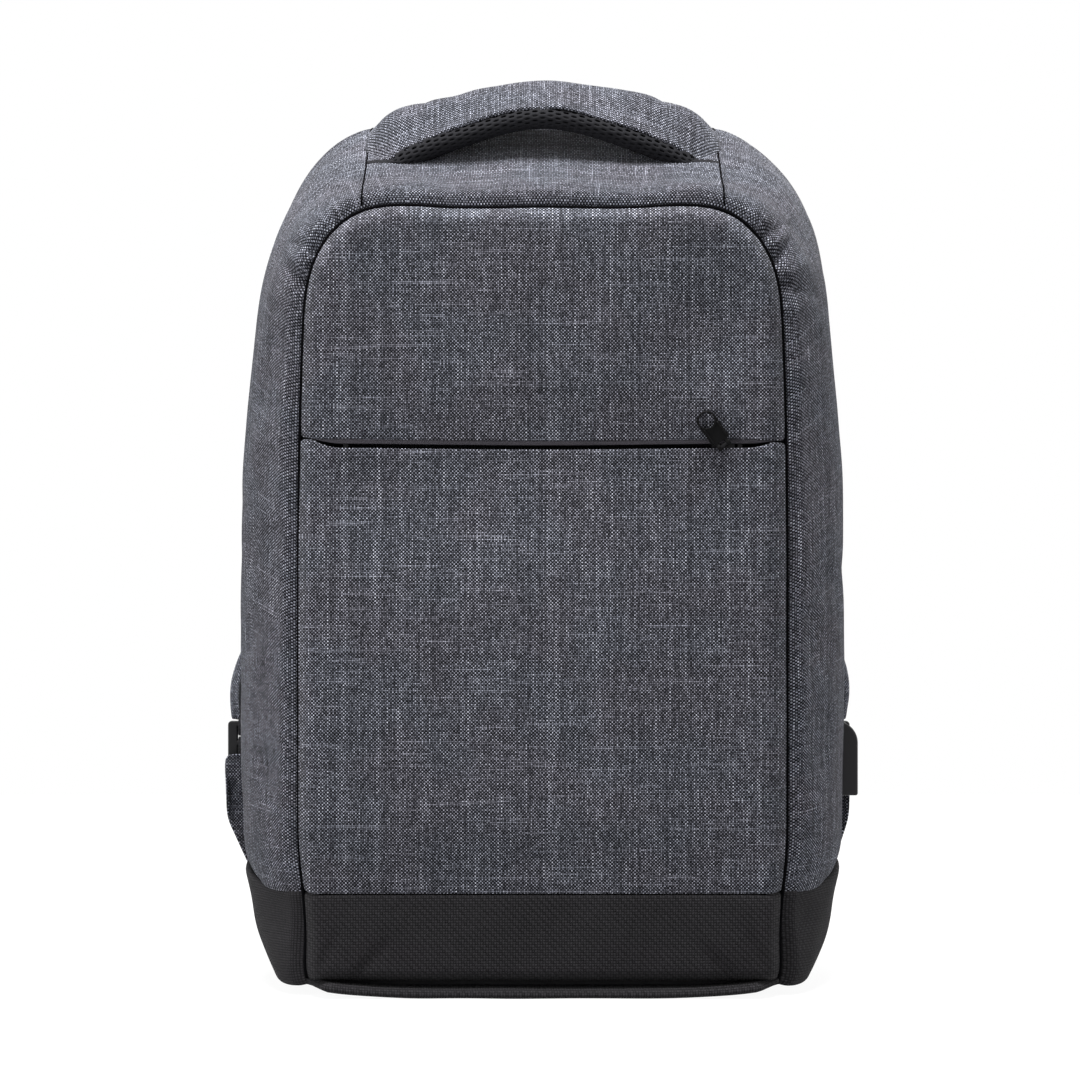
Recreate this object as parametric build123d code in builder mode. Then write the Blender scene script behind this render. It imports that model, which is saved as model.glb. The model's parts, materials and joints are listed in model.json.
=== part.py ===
from build123d import *
from math import atan2, cos, degrees, radians, sin
import os

# Slim laptop backpack: a soft body that opens at the back, a zipped front pocket, a padded
# grab handle, two shoulder straps and a small USB outlet on the right side.
# Millimetres.  +X is the viewer's right, +Y is towards the wearer, +Z is up.  The origin is
# the centre of the flat base that the bag stands on.

os.makedirs("parts", exist_ok=True)

# ---------------------------------------------------------------- driving dimensions
# body
half_width = 150.0          # half of the body's greatest width
rear_top = 440.0            # top of the arch at the rear edge
front_y = -74.0             # face of the front panel
rear_y = 58.0               # rear edge of the gusset
base_height = 5.0           # base panel, below the walls
wall = 4.0                  # fabric, foam and lining of a body panel
front_half = 107.0          # flat of the front panel
front_top = 369.0
seam_half = 118.0           # outline of the seam round the front panel
seam_top = 381.0
seam_y = -60.0
straight_low = 0.20         # the sides are straight between these shares of an outline's height
straight_high = 0.54

# panels
crown_radius = 6000.0       # the front seam lies on an upright cylinder of this radius
crown_y = -60.0             # front of that cylinder
top_seam_x = 88.0           # seams between the top panel and the side gussets
top_seam_z = 330.0          # below every part of the top panel
band_top = 50.0             # upper edge of the black base at the front
band_slope = 6.0            # degrees, the edge rises towards the back
lining = 1.5                # unpadded lining fabric
welt = 3.5                  # how far the piped base edge stands out
welt_height = 4.2
welt_round = 1.0
board = 2.5                 # stiffening boards

# front pocket zip
zip_z = 265.5               # middle of the slit
slit = 4.0
zip_half_length = 96.0
tape = 0.9
tape_width = 14.0
hem = 3.4                   # folded hem that carries the tape behind the panel
hem_start = 6.0             # from the middle of the zip
coil_width = 5.0
coil_depth = 2.0
coil_gap = 1.3              # between the two coil halves, where the slider's web runs
stop_length = 2.5

# zip sliders and pulls
slider_x = 86.6
slider_length = 11.0
slider_width = 9.0
slider_gap = 0.35           # clearance of a slider round its coil
slider_plate = 1.2
slider_web = 0.8
bar_radius = 0.8            # bar that a pull swings on
bar_length = 7.0
lug_radius = 1.7
lug_inner = 1.6             # half of the space between a pull's two lugs
neck_width = 2.4
pull_fit = 0.06
pull_length = 19.0
pull_width = 9.5
pull_thickness = 1.8
pull_hole_radius = 3.7
pull_angle = 35.0           # degrees, the front pull leans left of upright
rear_pull_length = 16.0
rear_pull_width = 7.0
rear_pull_hole_radius = 1.8

# rear zip
tape_inset = 1.0            # tapes lie this far inside the outline
tape_wall = 3.0             # and are this thick
coil_inset = 1.4
coil_wall = 2.2
rear_tape = 2.4             # size of each rear tape front to back
rear_coil = 1.5             # size of each coil half front to back
coil_split = 1.2            # gap between the coil halves
zip_bottom = 40.0           # the rear zip ends here on both sides
rear_slider_z = 102.0
rear_slider_length = 10.0

# back panel
panel_inset = 4.0
panel_gap = 0.3             # between the zip slider's web and the panel
panel_bottom = 14.0
hinge_z = 11.0
panel_cover = 6.0           # padded outer layer of the back panel
board_inset = 12.0
pad_height = 7.0
pad_edge = 3.0
pad_corner = 18.0
back_pad_x = (14.0, 104.0)
back_pad_z = (130.0, 345.0)
lumbar_half = 95.0
lumbar_z = (45.0, 115.0)

# laptop sleeve
sleeve_depth = 26.0
sleeve_half = 122.0
sleeve_top = 300.0
sleeve_bottom = 40.0
sleeve_wall = 2.0
closure_width = 24.0
closure_thickness = 1.6
closure_drop = 32.0
closure_rise = 22.0

# shoulder straps, distances in y are measured from the back panel's outer face
strap_thickness = 11.0
strap_lining = 2.0
strap_top_x = 42.0
strap_top_z = 406.0
strap_top_off = 13.5
anchor_width = 52.0
anchor_height = 15.0
strap_low_x = 146.0
strap_low_z = 98.0
strap_low_off = 3.8
strap_bulge = ((7.0, 128.0), (24.0, 180.0), (29.0, 262.0), (17.0, 350.0), (7.5, 412.0))
strap_outer = ((163.0, 128.0), (164.0, 142.0), (153.0, 174.0), (121.0, 250.0), (86.0, 350.0), (69.0, 420.0))
strap_inner = ((15.0, 420.0), (28.0, 345.0), (64.0, 252.0), (101.0, 178.0), (121.0, 142.0), (126.0, 128.0))
end_gap = 0.4
webbing_width = 25.0
webbing = 1.6
lock_width = 36.0
lock_thickness = 4.0
lock_bar = 3.0
lock_window = 7.0
lock_rail = 5.2
tail_end_z = 62.0
tail_off = 13.5
wing_thickness = 5.0
wing_outline = ((112.0, 36.0), (146.0, 36.0), (164.0, 72.0), (165.0, 98.0), (130.0, 98.0), (106.0, 62.0))

# grab handle
handle_half = 88.0
handle_rise = 32.0
handle_thickness = 14.0
handle_width = 42.0
handle_y = 10.0
handle_z = 409.0
handle_lean = 21.0          # degrees, the handle stands square to the sloping top
handle_skin = 2.0
handle_edge = 5.5
handle_swing = 20           # degrees each way
handle_step = 10
handle_gap = 0.5

# USB outlet
pod_height = 37.5
pod_width = 24.0
pod_reach = 8.5             # beyond the side
pod_z = 91.5
pod_y = 22.0
pod_wall = 1.8
pod_round = 11.0
pod_edge = 1.2
plate_margin = 6.0
plate_corner = 4.0
plate_thickness = 2.5
plate_gap = 0.9
usb_width = 12.5
usb_height = 5.1
usb_length = 13.0
usb_metal = 0.4
usb_fit = 0.1
tongue_thickness = 1.8
boss_radius = 3.0
boss_spacing = 13.0
boss_length = 6.0
boss_clear = 1.0
screw_radius = 1.2
screw_head_radius = 2.3
screw_head_height = 1.5
gland_radius = 4.0
gland_bore = 2.0
gland_length = 7.0


# ---------------------------------------------------------------- helpers
rear_low = ((0.85, 0.0), (0.935, 0.045))
front_low = ((0.965, 0.0), (0.975, 0.045))
rear_arch = ((0.957, 0.727), (0.86, 0.892), (0.692, 0.968), (0.36, 0.995))
front_arch = ((0.985, 0.85), (0.93, 0.945), (0.80, 0.990), (0.40, 1.0))
stations = (
    (front_y, front_half, front_top, 1.0),
    (seam_y, seam_half, seam_top, 0.9),
    (-42.0, 136.0, 393.5, 0.62),
    (-22.0, 145.5, 405.0, 0.36),
    (0.0, half_width - 0.8, 416.5, 0.18),
    (28.0, half_width, 429.5, 0.06),
    (rear_y, half_width, rear_top, 0.0),
)


def blend(rear, front, square):
    """Points part of the way from the rear outline to the squarer front one."""
    return [(r[0] + (f[0] - r[0]) * square, r[1] + (f[1] - r[1]) * square)
            for r, f in zip(rear, front)]


def scaled(points, half, low, rise):
    return [(half * x, low + rise * z) for x, z in points]


def arch_face(y, half, top, square, low):
    """Face bounded by a bag outline, upright at the given depth."""
    rise = top - low
    lower = scaled(blend(rear_low, front_low, square), half, low, rise)
    upper = scaled(blend(rear_arch, front_arch, square), half, low, rise)
    side_low = low + straight_low * rise
    side_high = low + straight_high * rise
    with BuildSketch(Plane.XZ.offset(-y)) as outline:
        with BuildLine():
            Spline(*lower, (half, side_low), tangents=[(0.6, 1), (0, 1)])
            Line((half, side_low), (half, side_high))
            Spline((half, side_high), *upper, (0, top),
                   *[(-x, z) for x, z in reversed(upper)], (-half, side_high),
                   tangents=[(0, 1), (0, -1)])
            Line((-half, side_high), (-half, side_low))
            Spline((-half, side_low), *[(-x, z) for x, z in reversed(lower)],
                   tangents=[(0, -1), (0.6, -1)])
            Line((-lower[0][0], low), (lower[0][0], low))
        make_face()
    return outline.sketch


def body_solid(inset, front_inset, rear_extra, low):
    """The bag's outer form, made smaller all round by the inset."""
    faces = []
    for y, half, top, square in stations:
        if y == front_y:
            y += front_inset
        if y == rear_y:
            y += rear_extra
        faces.append(arch_face(y, half - inset, top - inset, square, low))
    with BuildPart() as solid:
        loft(faces)
    return solid.part


def outline_slab(inset, y_from, y_to, low):
    """The rear outline made smaller by an inset, as a flat slab."""
    with BuildPart() as slab:
        add(arch_face(y_from, half_width - inset, rear_top - inset, 0.0, low))
        extrude(amount=y_to - y_from, dir=(0, 1, 0))
    return slab.part


def block(x, y, z):
    """A plain box from three (low, high) pairs."""
    with BuildPart() as cube:
        with Locations(((x[0] + x[1]) / 2, (y[0] + y[1]) / 2, (z[0] + z[1]) / 2)):
            Box(x[1] - x[0], y[1] - y[0], z[1] - z[0])
    return cube.part


def zip_band(inset, thickness, y_from, y_to):
    """One layer of the rear zip, up one side, over the arch and down the other."""
    with BuildPart() as band:
        add(outline_slab(inset, y_from, y_to, base_height))
        add(outline_slab(inset + thickness, y_from - 1, y_to + 1, base_height - 1), mode=Mode.SUBTRACT)
        split(bisect_by=Plane.XY.offset(zip_bottom), keep=Keep.TOP)
    return band.part


def strip(points, width, thickness, x_middle):
    """Webbing that follows (y, z) points, folded over with a small bend."""
    with BuildPart() as ribbon:
        with BuildSketch(Plane.YZ.offset(x_middle - width / 2)):
            with BuildLine():
                FilletPolyline(*points, radius=thickness)
            trace(line_width=thickness)
        extrude(amount=width)
    return ribbon.part


def bail(plane, reach):
    """Neck and cross bar that a zip pull swings on.  The bar lies on the plane's x axis."""
    with BuildPart() as neck:
        with BuildSketch(plane.offset(-reach)):
            Rectangle(neck_width, 2 * bar_radius)
        extrude(amount=reach)
        with BuildSketch(Plane(plane.origin - plane.x_dir * bar_length / 2, z_dir=plane.x_dir)):
            Circle(bar_radius)
        extrude(amount=bar_length)
    return neck.part


def pull_tab(plane, length, width, hole_radius):
    """A zip pull with two lugs on its bar and a hole near its round end."""
    lug_outer = bar_length / 2
    with BuildPart() as tab:
        with BuildSketch(plane.offset(-pull_thickness / 2)):
            with Locations((0, (lug_radius + 0.4 + length - width / 2) / 2)):
                Rectangle(width, length - width / 2 - lug_radius - 0.4)
            with Locations((0, length - width / 2)):
                Circle(width / 2)
                Circle(hole_radius, mode=Mode.SUBTRACT)
        extrude(amount=pull_thickness)
        for side in (-1, 1):
            near = plane.origin + plane.x_dir * side * lug_inner
            with BuildSketch(Plane(near, x_dir=plane.y_dir, z_dir=plane.x_dir * side)):
                Circle(lug_radius)
                with Locations(((lug_radius + 0.6) / 2, 0)):
                    Rectangle(lug_radius + 0.6, pull_thickness)
            extrude(amount=lug_outer - lug_inner)
        with BuildSketch(Plane(plane.origin - plane.x_dir * bar_length, z_dir=plane.x_dir)):
            Circle(bar_radius + pull_fit)
        extrude(amount=2 * bar_length, mode=Mode.SUBTRACT)
    return tab.part


def write(part, name):
    part.label = name
    export_step(part, "parts/" + name + ".step")


# ---------------------------------------------------------------- body panels
outer = body_solid(0.0, 0.0, 0.0, base_height)
inner = body_solid(wall, wall, 2.0, base_height - 1)
reach = rear_top + 60
top_block = block((-top_seam_x, top_seam_x), (front_y - 9, rear_y + 9), (top_seam_z, reach))
band_tilt = radians(band_slope)
band_plane = Plane(origin=(0, seam_y, band_top), z_dir=(0, -sin(band_tilt), cos(band_tilt)))

with BuildPart() as crown:
    with BuildSketch(Plane.XY.offset(-base_height)):
        with Locations((0, crown_y + crown_radius)):
            Circle(crown_radius)
    extrude(amount=reach)

with BuildPart() as crown_inside:
    with BuildSketch(Plane.XY.offset(-base_height)):
        with Locations((0, crown_y + crown_radius)):
            Circle(crown_radius - lining)
    extrude(amount=reach)

with BuildPart() as gusset_ring:
    add(outer)
    add(inner, mode=Mode.SUBTRACT)
    add(crown.part, mode=Mode.INTERSECT)

with BuildPart() as front_dish:
    add(outer)
    add(inner, mode=Mode.SUBTRACT)
    add(crown.part, mode=Mode.SUBTRACT)

with BuildPart() as top_panel:
    add(gusset_ring.part)
    add(top_block, mode=Mode.INTERSECT)

with BuildPart() as gusset_right_blank:
    add(gusset_ring.part)
    add(top_block, mode=Mode.SUBTRACT)
    split(bisect_by=Plane.YZ, keep=Keep.TOP)

with BuildPart() as gusset_base_right:
    add(gusset_right_blank.part)
    split(bisect_by=band_plane, keep=Keep.BOTTOM)

with BuildPart() as gusset_base_left:
    mirror(gusset_base_right.part, about=Plane.YZ)

with BuildPart() as gusset_plain:
    add(gusset_right_blank.part)
    split(bisect_by=band_plane, keep=Keep.TOP)

with BuildPart() as side_gusset_left:
    mirror(gusset_plain.part, about=Plane.YZ)

pod_side = (pod_y - pod_width / 2, pod_y + pod_width / 2)
pod_back = half_width - wall - plate_gap
with BuildPart() as side_gusset_right:
    add(gusset_plain.part)
    add(block((pod_back - wall, half_width + pod_reach), pod_side, (pod_z, pod_z + pod_height)),
        mode=Mode.SUBTRACT)

slit_low = zip_z - slit / 2
slit_high = zip_z + slit / 2
slit_block = block((-zip_half_length, zip_half_length), (front_y - 9, seam_y), (slit_low, slit_high))

with BuildPart() as front_panel_upper:
    add(front_dish.part)
    split(bisect_by=Plane.XY.offset(zip_z), keep=Keep.TOP)
    add(slit_block, mode=Mode.SUBTRACT)

with BuildPart() as front_pocket_panel:
    add(front_dish.part)
    split(bisect_by=Plane.XY.offset(zip_z), keep=Keep.BOTTOM)
    split(bisect_by=Plane.XY.offset(band_top), keep=Keep.TOP)
    add(slit_block, mode=Mode.SUBTRACT)

with BuildPart() as front_base_band:
    add(front_dish.part)
    split(bisect_by=Plane.XY.offset(band_top), keep=Keep.BOTTOM)

with BuildPart() as pocket_lining:
    add(inner)
    add(crown.part, mode=Mode.INTERSECT)
    add(crown_inside.part, mode=Mode.SUBTRACT)
    split(bisect_by=Plane.XY.offset(base_height), keep=Keep.TOP)
    split(bisect_by=Plane.XZ, keep=Keep.TOP)
    add(side_gusset_left.part, mode=Mode.SUBTRACT)

write(top_panel.part, "top_panel")
write(side_gusset_left.part, "side_gusset_left")
write(side_gusset_right.part, "side_gusset_right")
write(gusset_base_left.part, "gusset_base_left")
write(gusset_base_right.part, "gusset_base_right")
write(front_panel_upper.part, "front_panel_upper")
write(front_pocket_panel.part, "front_pocket_panel")
write(front_base_band.part, "front_base_band")
write(pocket_lining.part, "pocket_lining")


# ---------------------------------------------------------------- base
def footprint(grow):
    """Outline of the walls where they stand on the base panel, made larger by a margin."""
    right = []
    for y, half, top, square in stations:
        share = blend(rear_low, front_low, square)[0][0]
        right.append((half * share + grow, y))
    right[0] = (right[0][0], front_y - grow)
    right[-1] = (right[-1][0], rear_y + grow)
    left = [(-x, y) for x, y in reversed(right)]
    with BuildSketch() as face:
        with BuildLine():
            Spline(*right)
            Line(right[-1], left[0])
            Spline(*left)
            Line(left[-1], right[0])
        make_face()
    return face.sketch


with BuildPart() as base_panel:
    add(footprint(0.0))
    extrude(amount=base_height)

with BuildPart() as base_edge_welt:
    with BuildSketch():
        add(footprint(welt))
        add(footprint(0.0), mode=Mode.SUBTRACT)
    extrude(amount=welt_height)
    welt_top = base_edge_welt.faces().sort_by(Axis.Z)[-1]
    fillet(welt_top.outer_wire().edges(), radius=welt_round)

with BuildPart() as base_board:
    add(inner)
    add(crown_inside.part, mode=Mode.INTERSECT)
    add(block((-half_width, half_width), (front_y, rear_y), (base_height, base_height + board)),
        mode=Mode.INTERSECT)

write(base_panel.part, "base_panel")
write(base_edge_welt.part, "base_edge_welt")
write(base_board.part, "base_board")


# ---------------------------------------------------------------- front pocket zip
skin_y = front_y + wall
tape_y = skin_y + hem - tape
coil_y = tape_y + tape / 2

with BuildPart() as front_zip_tape_upper:
    with BuildSketch(Plane.YZ.offset(-zip_half_length)):
        with BuildLine():
            Polyline((tape_y, zip_z + coil_width / 2), (tape_y + tape, zip_z + coil_width / 2),
                     (tape_y + tape, zip_z + tape_width), (skin_y, zip_z + tape_width),
                     (skin_y, zip_z + hem_start), (tape_y, zip_z + hem_start), close=True)
        make_face()
    extrude(amount=2 * zip_half_length)

zip_plane = Plane.XY.offset(zip_z)
with BuildPart() as front_zip_tape_lower:
    mirror(front_zip_tape_upper.part, about=zip_plane)

with BuildPart() as front_zip_coil:
    for side in (-1, 1):
        near = zip_z + side * coil_gap / 2
        far = zip_z + side * coil_width / 2
        add(block((-zip_half_length, zip_half_length), (coil_y - coil_depth / 2, coil_y + coil_depth / 2),
                  (min(near, far), max(near, far))))

with BuildPart() as front_zip_stops:
    for side in (-1, 1):
        near = side * (zip_half_length - stop_length)
        far = side * zip_half_length
        add(block((min(near, far), max(near, far)),
                  (coil_y - coil_depth / 2 - slider_plate, coil_y + coil_depth / 2 + slider_plate),
                  (zip_z - slider_width / 2, zip_z + slider_width / 2)))
    add(front_zip_coil.part, mode=Mode.SUBTRACT)
    add(front_zip_tape_upper.part, mode=Mode.SUBTRACT)
    add(front_zip_tape_lower.part, mode=Mode.SUBTRACT)

pull_turn = radians(pull_angle)
bar_y = front_y - lug_radius - slider_gap
front_bar = Plane(origin=(slider_x, bar_y, zip_z), x_dir=(cos(pull_turn), 0, sin(pull_turn)),
                  z_dir=(0, -1, 0))
plate_y = coil_y - coil_depth / 2 - slider_gap - slider_plate
slider_span = (slider_x - slider_length / 2, slider_x + slider_length / 2)
slider_rise = (zip_z - slider_width / 2, zip_z + slider_width / 2)
slider_back = coil_y + coil_depth / 2 + slider_gap

with BuildPart() as front_zip_slider:
    add(block(slider_span, (plate_y, plate_y + slider_plate), slider_rise))
    add(block(slider_span, (slider_back, slider_back + slider_plate), slider_rise))
    add(block((slider_x, slider_span[1]), (plate_y, slider_back + slider_plate),
              (zip_z - slider_web / 2, zip_z + slider_web / 2)))
    add(bail(front_bar, plate_y - bar_y + slider_plate / 2))

with BuildPart() as front_zip_pull:
    add(pull_tab(front_bar, pull_length, pull_width, pull_hole_radius))

write(front_zip_tape_upper.part, "front_zip_tape_upper")
write(front_zip_tape_lower.part, "front_zip_tape_lower")
write(front_zip_coil.part, "front_zip_coil")
write(front_zip_stops.part, "front_zip_stops")
write(front_zip_slider.part, "front_zip_slider")
write(front_zip_pull.part, "front_zip_pull")


# ---------------------------------------------------------------- rear zip
coil_body_y = rear_y + rear_tape
split_y = coil_body_y + rear_coil
coil_panel_y = split_y + coil_split
tape_panel_y = coil_panel_y + rear_coil
hinge_y = split_y + coil_split / 2

with BuildPart() as main_zip_tape_body:
    add(zip_band(tape_inset, tape_wall, rear_y, coil_body_y))

with BuildPart() as main_zip_coil_body:
    add(zip_band(coil_inset, coil_wall, coil_body_y, split_y))

with BuildPart() as main_zip_coil_panel:
    add(zip_band(coil_inset, coil_wall, coil_panel_y, tape_panel_y))

with BuildPart() as main_zip_tape_panel:
    add(zip_band(tape_inset, tape_wall, tape_panel_y, tape_panel_y + rear_tape))

with BuildPart() as back_binding:
    add(outline_slab(tape_inset, rear_y, split_y, base_height))
    add(outline_slab(tape_inset + tape_wall, rear_y - 1, split_y + 1, hinge_z), mode=Mode.SUBTRACT)
    split(bisect_by=Plane.XY.offset(zip_bottom), keep=Keep.BOTTOM)

tape_face = half_width - tape_inset
tape_back = tape_face - tape_wall
plate_x = -(tape_face + slider_gap + slider_plate)
rear_span = (rear_slider_z - rear_slider_length / 2, rear_slider_z + rear_slider_length / 2)
web_y = (hinge_y - slider_web / 2, hinge_y + slider_web / 2)
inside_x = -(tape_back - slider_gap)
rear_bar = Plane(origin=(plate_x - lug_radius - slider_gap, hinge_y, rear_slider_z),
                 x_dir=(0, 1, 0), z_dir=(-1, 0, 0))

with BuildPart() as main_zip_slider:
    add(block((plate_x, plate_x + slider_plate),
              (hinge_y - slider_width / 3, hinge_y + slider_width / 3), rear_span))
    add(block((plate_x, inside_x + slider_plate), web_y, (rear_slider_z, rear_span[1])))
    add(block((inside_x, inside_x + slider_plate), (hinge_y - slider_width / 3, web_y[1]), rear_span))
    add(bail(rear_bar, lug_radius + slider_gap + slider_plate / 2))

with BuildPart() as main_zip_pull:
    add(pull_tab(rear_bar, rear_pull_length, rear_pull_width, rear_pull_hole_radius))

write(main_zip_tape_body.part, "main_zip_tape_body")
write(main_zip_coil_body.part, "main_zip_coil_body")
write(main_zip_coil_panel.part, "main_zip_coil_panel")
write(main_zip_tape_panel.part, "main_zip_tape_panel")
write(back_binding.part, "back_binding")
write(main_zip_slider.part, "main_zip_slider")
write(main_zip_pull.part, "main_zip_pull")


# ---------------------------------------------------------------- back panel
panel_y = web_y[1] + panel_gap
board_y = panel_y + lining
cover_back = board_y + panel_cover

with BuildPart() as back_panel_lining:
    add(outline_slab(panel_inset, panel_y, board_y, base_height))
    split(bisect_by=Plane.XY.offset(panel_bottom), keep=Keep.TOP)

with BuildPart() as back_panel_board:
    add(outline_slab(board_inset, board_y, board_y + board, base_height))
    split(bisect_by=Plane.XY.offset(panel_bottom + board_inset - panel_inset), keep=Keep.TOP)

with BuildPart() as back_panel_cover:
    add(outline_slab(panel_inset, board_y, cover_back, base_height))
    split(bisect_by=Plane.XY.offset(panel_bottom), keep=Keep.TOP)
    add(back_panel_board.part, mode=Mode.SUBTRACT)


def back_cushion(x, z):
    """A flat foam pad with round corners on the back panel's outer face."""
    with BuildPart() as cushion:
        with BuildSketch(Plane.XZ.offset(-cover_back)):
            with Locations(((x[0] + x[1]) / 2, (z[0] + z[1]) / 2)):
                RectangleRounded(x[1] - x[0], z[1] - z[0], pad_corner)
        extrude(amount=-pad_height)
        fillet(cushion.faces().sort_by(Axis.Y)[-1].edges(), radius=pad_edge)
    return cushion.part


with BuildPart() as back_pad_right:
    add(back_cushion(back_pad_x, back_pad_z))

with BuildPart() as back_pad_left:
    mirror(back_pad_right.part, about=Plane.YZ)

with BuildPart() as lumbar_pad:
    add(back_cushion((-lumbar_half, lumbar_half), lumbar_z))

sleeve_front = panel_y - sleeve_depth - sleeve_wall
with BuildPart() as laptop_sleeve:
    add(block((-sleeve_half, sleeve_half), (sleeve_front, panel_y), (sleeve_bottom, sleeve_top)))
    add(block((sleeve_wall - sleeve_half, sleeve_half - sleeve_wall),
              (sleeve_front + sleeve_wall, panel_y + 1), (sleeve_bottom + sleeve_wall, sleeve_top + 1)),
        mode=Mode.SUBTRACT)

closure_x = (-closure_width / 2, closure_width / 2)
closure_top = sleeve_top + closure_thickness
with BuildPart() as sleeve_closure:
    add(block(closure_x, (sleeve_front - closure_thickness, sleeve_front),
              (sleeve_top - closure_drop, closure_top)))
    add(block(closure_x, (sleeve_front - closure_thickness, panel_y), (sleeve_top, closure_top)))
    add(block(closure_x, (panel_y - closure_thickness, panel_y), (sleeve_top, closure_top + closure_rise)))

write(back_panel_lining.part, "back_panel_lining")
write(back_panel_board.part, "back_panel_board")
write(back_panel_cover.part, "back_panel_cover")
write(back_pad_left.part, "back_pad_left")
write(back_pad_right.part, "back_pad_right")
write(lumbar_pad.part, "lumbar_pad")
write(laptop_sleeve.part, "laptop_sleeve")
write(sleeve_closure.part, "sleeve_closure")


# ---------------------------------------------------------------- shoulder straps
# A strap swings about the line from its top seam to its lower anchor.
axis_top = Vector(strap_top_x, cover_back + strap_top_off, strap_top_z)
axis_low = Vector(strap_low_x, cover_back + strap_low_off, strap_low_z)
strap_axis = (axis_top - axis_low).normalized()


def strap_slab(lift, thickness):
    """A layer of a strap over the whole width of the bag, seen from the side."""
    near = [(cover_back + lift + y, z) for y, z in strap_bulge]
    far = [(y + thickness, z) for y, z in reversed(near)]
    with BuildPart() as slab:
        with BuildSketch(Plane.YZ):
            with BuildLine():
                Spline(*near)
                Line(near[-1], far[0])
                Spline(*far)
                Line(far[-1], near[0])
            make_face()
        extrude(amount=2 * half_width)
    return slab.part


def strap_layer(lift, thickness):
    """A layer of the right strap, cut to its curved outline and at its top seam."""
    with BuildPart() as layer:
        with BuildSketch(Plane.XZ.offset(-cover_back)):
            with BuildLine():
                Spline(*strap_outer)
                Line(strap_outer[-1], strap_inner[0])
                Spline(*strap_inner)
                Line(strap_inner[-1], strap_outer[0])
            make_face()
        extrude(amount=-half_width)
        add(strap_slab(lift, thickness), mode=Mode.INTERSECT)
        split(bisect_by=Plane(axis_top, z_dir=strap_axis), keep=Keep.BOTTOM)
    return layer.part


with BuildPart() as shoulder_strap_right:
    add(strap_layer(strap_lining, strap_thickness - strap_lining))

with BuildPart() as strap_lining_right:
    add(strap_layer(0, strap_lining))

anchor_plane = Plane(axis_top + strap_axis * end_gap, z_dir=strap_axis)
with BuildPart() as strap_anchor_right:
    with BuildSketch(Plane.XZ.offset(-cover_back)):
        with Locations((strap_top_x, strap_top_z)):
            Rectangle(anchor_width, 2 * anchor_height)
    extrude(amount=-(strap_top_off + strap_thickness / 2))
    split(bisect_by=anchor_plane, keep=Keep.TOP)

# lower end: webbing from the wing, through the ladder lock, with a loose tail
front_web_y = cover_back + strap_low_off
lock_y = front_web_y + webbing / 2 + lock_thickness / 2 + slider_gap
back_web_y = lock_y + lock_thickness / 2 + slider_gap + webbing / 2
lock_top = strap_inner[-1][1] - webbing - 2 * slider_gap
upper_window = lock_top - lock_bar - lock_window / 2
lock_height = 3 * lock_bar + 2 * lock_window
lower_window = upper_window - lock_window - lock_bar

with BuildPart() as ladder_lock_right:
    with BuildSketch(Plane.XZ.offset(-(lock_y - lock_thickness / 2))):
        with Locations((strap_low_x, lock_top - lock_height / 2)):
            RectangleRounded(lock_width, lock_height, 2.0)
        with Locations((strap_low_x, upper_window), (strap_low_x, lower_window)):
            Rectangle(lock_width - 2 * lock_rail, lock_window, mode=Mode.SUBTRACT)
    extrude(amount=-lock_thickness)

turn_z = upper_window - lock_window / 2 + slider_gap + webbing / 2
with BuildPart() as lower_webbing_right:
    add(strip([(front_web_y, strap_low_z + end_gap), (front_web_y, turn_z), (back_web_y, turn_z),
               (back_web_y, lower_window), (cover_back + tail_off, lower_window - 12),
               (cover_back + tail_off, tail_end_z)], webbing_width, webbing, strap_low_x))

loop_low = turn_z + webbing + slider_gap
loop_high = lock_top + slider_gap + webbing / 2
with BuildPart() as buckle_loop_right:
    loop_y = (front_web_y - webbing / 2, back_web_y + webbing / 2)
    loop_x = (strap_low_x - webbing_width / 2, strap_low_x + webbing_width / 2)
    add(block(loop_x, loop_y, (loop_low - webbing / 2, loop_high + webbing / 2)))
    add(block(loop_x, (loop_y[0] + webbing, loop_y[1] - webbing),
              (loop_low + webbing / 2, loop_high - webbing / 2)), mode=Mode.SUBTRACT)
    add(ladder_lock_right.part, mode=Mode.SUBTRACT)

with BuildPart() as strap_wing_right:
    with BuildSketch(Plane.XZ.offset(-cover_back)):
        with BuildLine():
            Polyline(*wing_outline, close=True)
        make_face()
    extrude(amount=-wing_thickness)

with BuildPart() as shoulder_strap_left:
    mirror(shoulder_strap_right.part, about=Plane.YZ)

with BuildPart() as strap_lining_left:
    mirror(strap_lining_right.part, about=Plane.YZ)

with BuildPart() as strap_anchor_left:
    mirror(strap_anchor_right.part, about=Plane.YZ)

with BuildPart() as ladder_lock_left:
    mirror(ladder_lock_right.part, about=Plane.YZ)

with BuildPart() as lower_webbing_left:
    mirror(lower_webbing_right.part, about=Plane.YZ)

with BuildPart() as buckle_loop_left:
    mirror(buckle_loop_right.part, about=Plane.YZ)

with BuildPart() as strap_wing_left:
    mirror(strap_wing_right.part, about=Plane.YZ)

write(shoulder_strap_right.part, "shoulder_strap_right")
write(shoulder_strap_left.part, "shoulder_strap_left")
write(strap_lining_right.part, "strap_lining_right")
write(strap_lining_left.part, "strap_lining_left")
write(strap_anchor_right.part, "strap_anchor_right")
write(strap_anchor_left.part, "strap_anchor_left")
write(ladder_lock_right.part, "ladder_lock_right")
write(ladder_lock_left.part, "ladder_lock_left")
write(lower_webbing_right.part, "lower_webbing_right")
write(lower_webbing_left.part, "lower_webbing_left")
write(buckle_loop_right.part, "buckle_loop_right")
write(buckle_loop_left.part, "buckle_loop_left")
write(strap_wing_right.part, "strap_wing_right")
write(strap_wing_left.part, "strap_wing_left")


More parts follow.
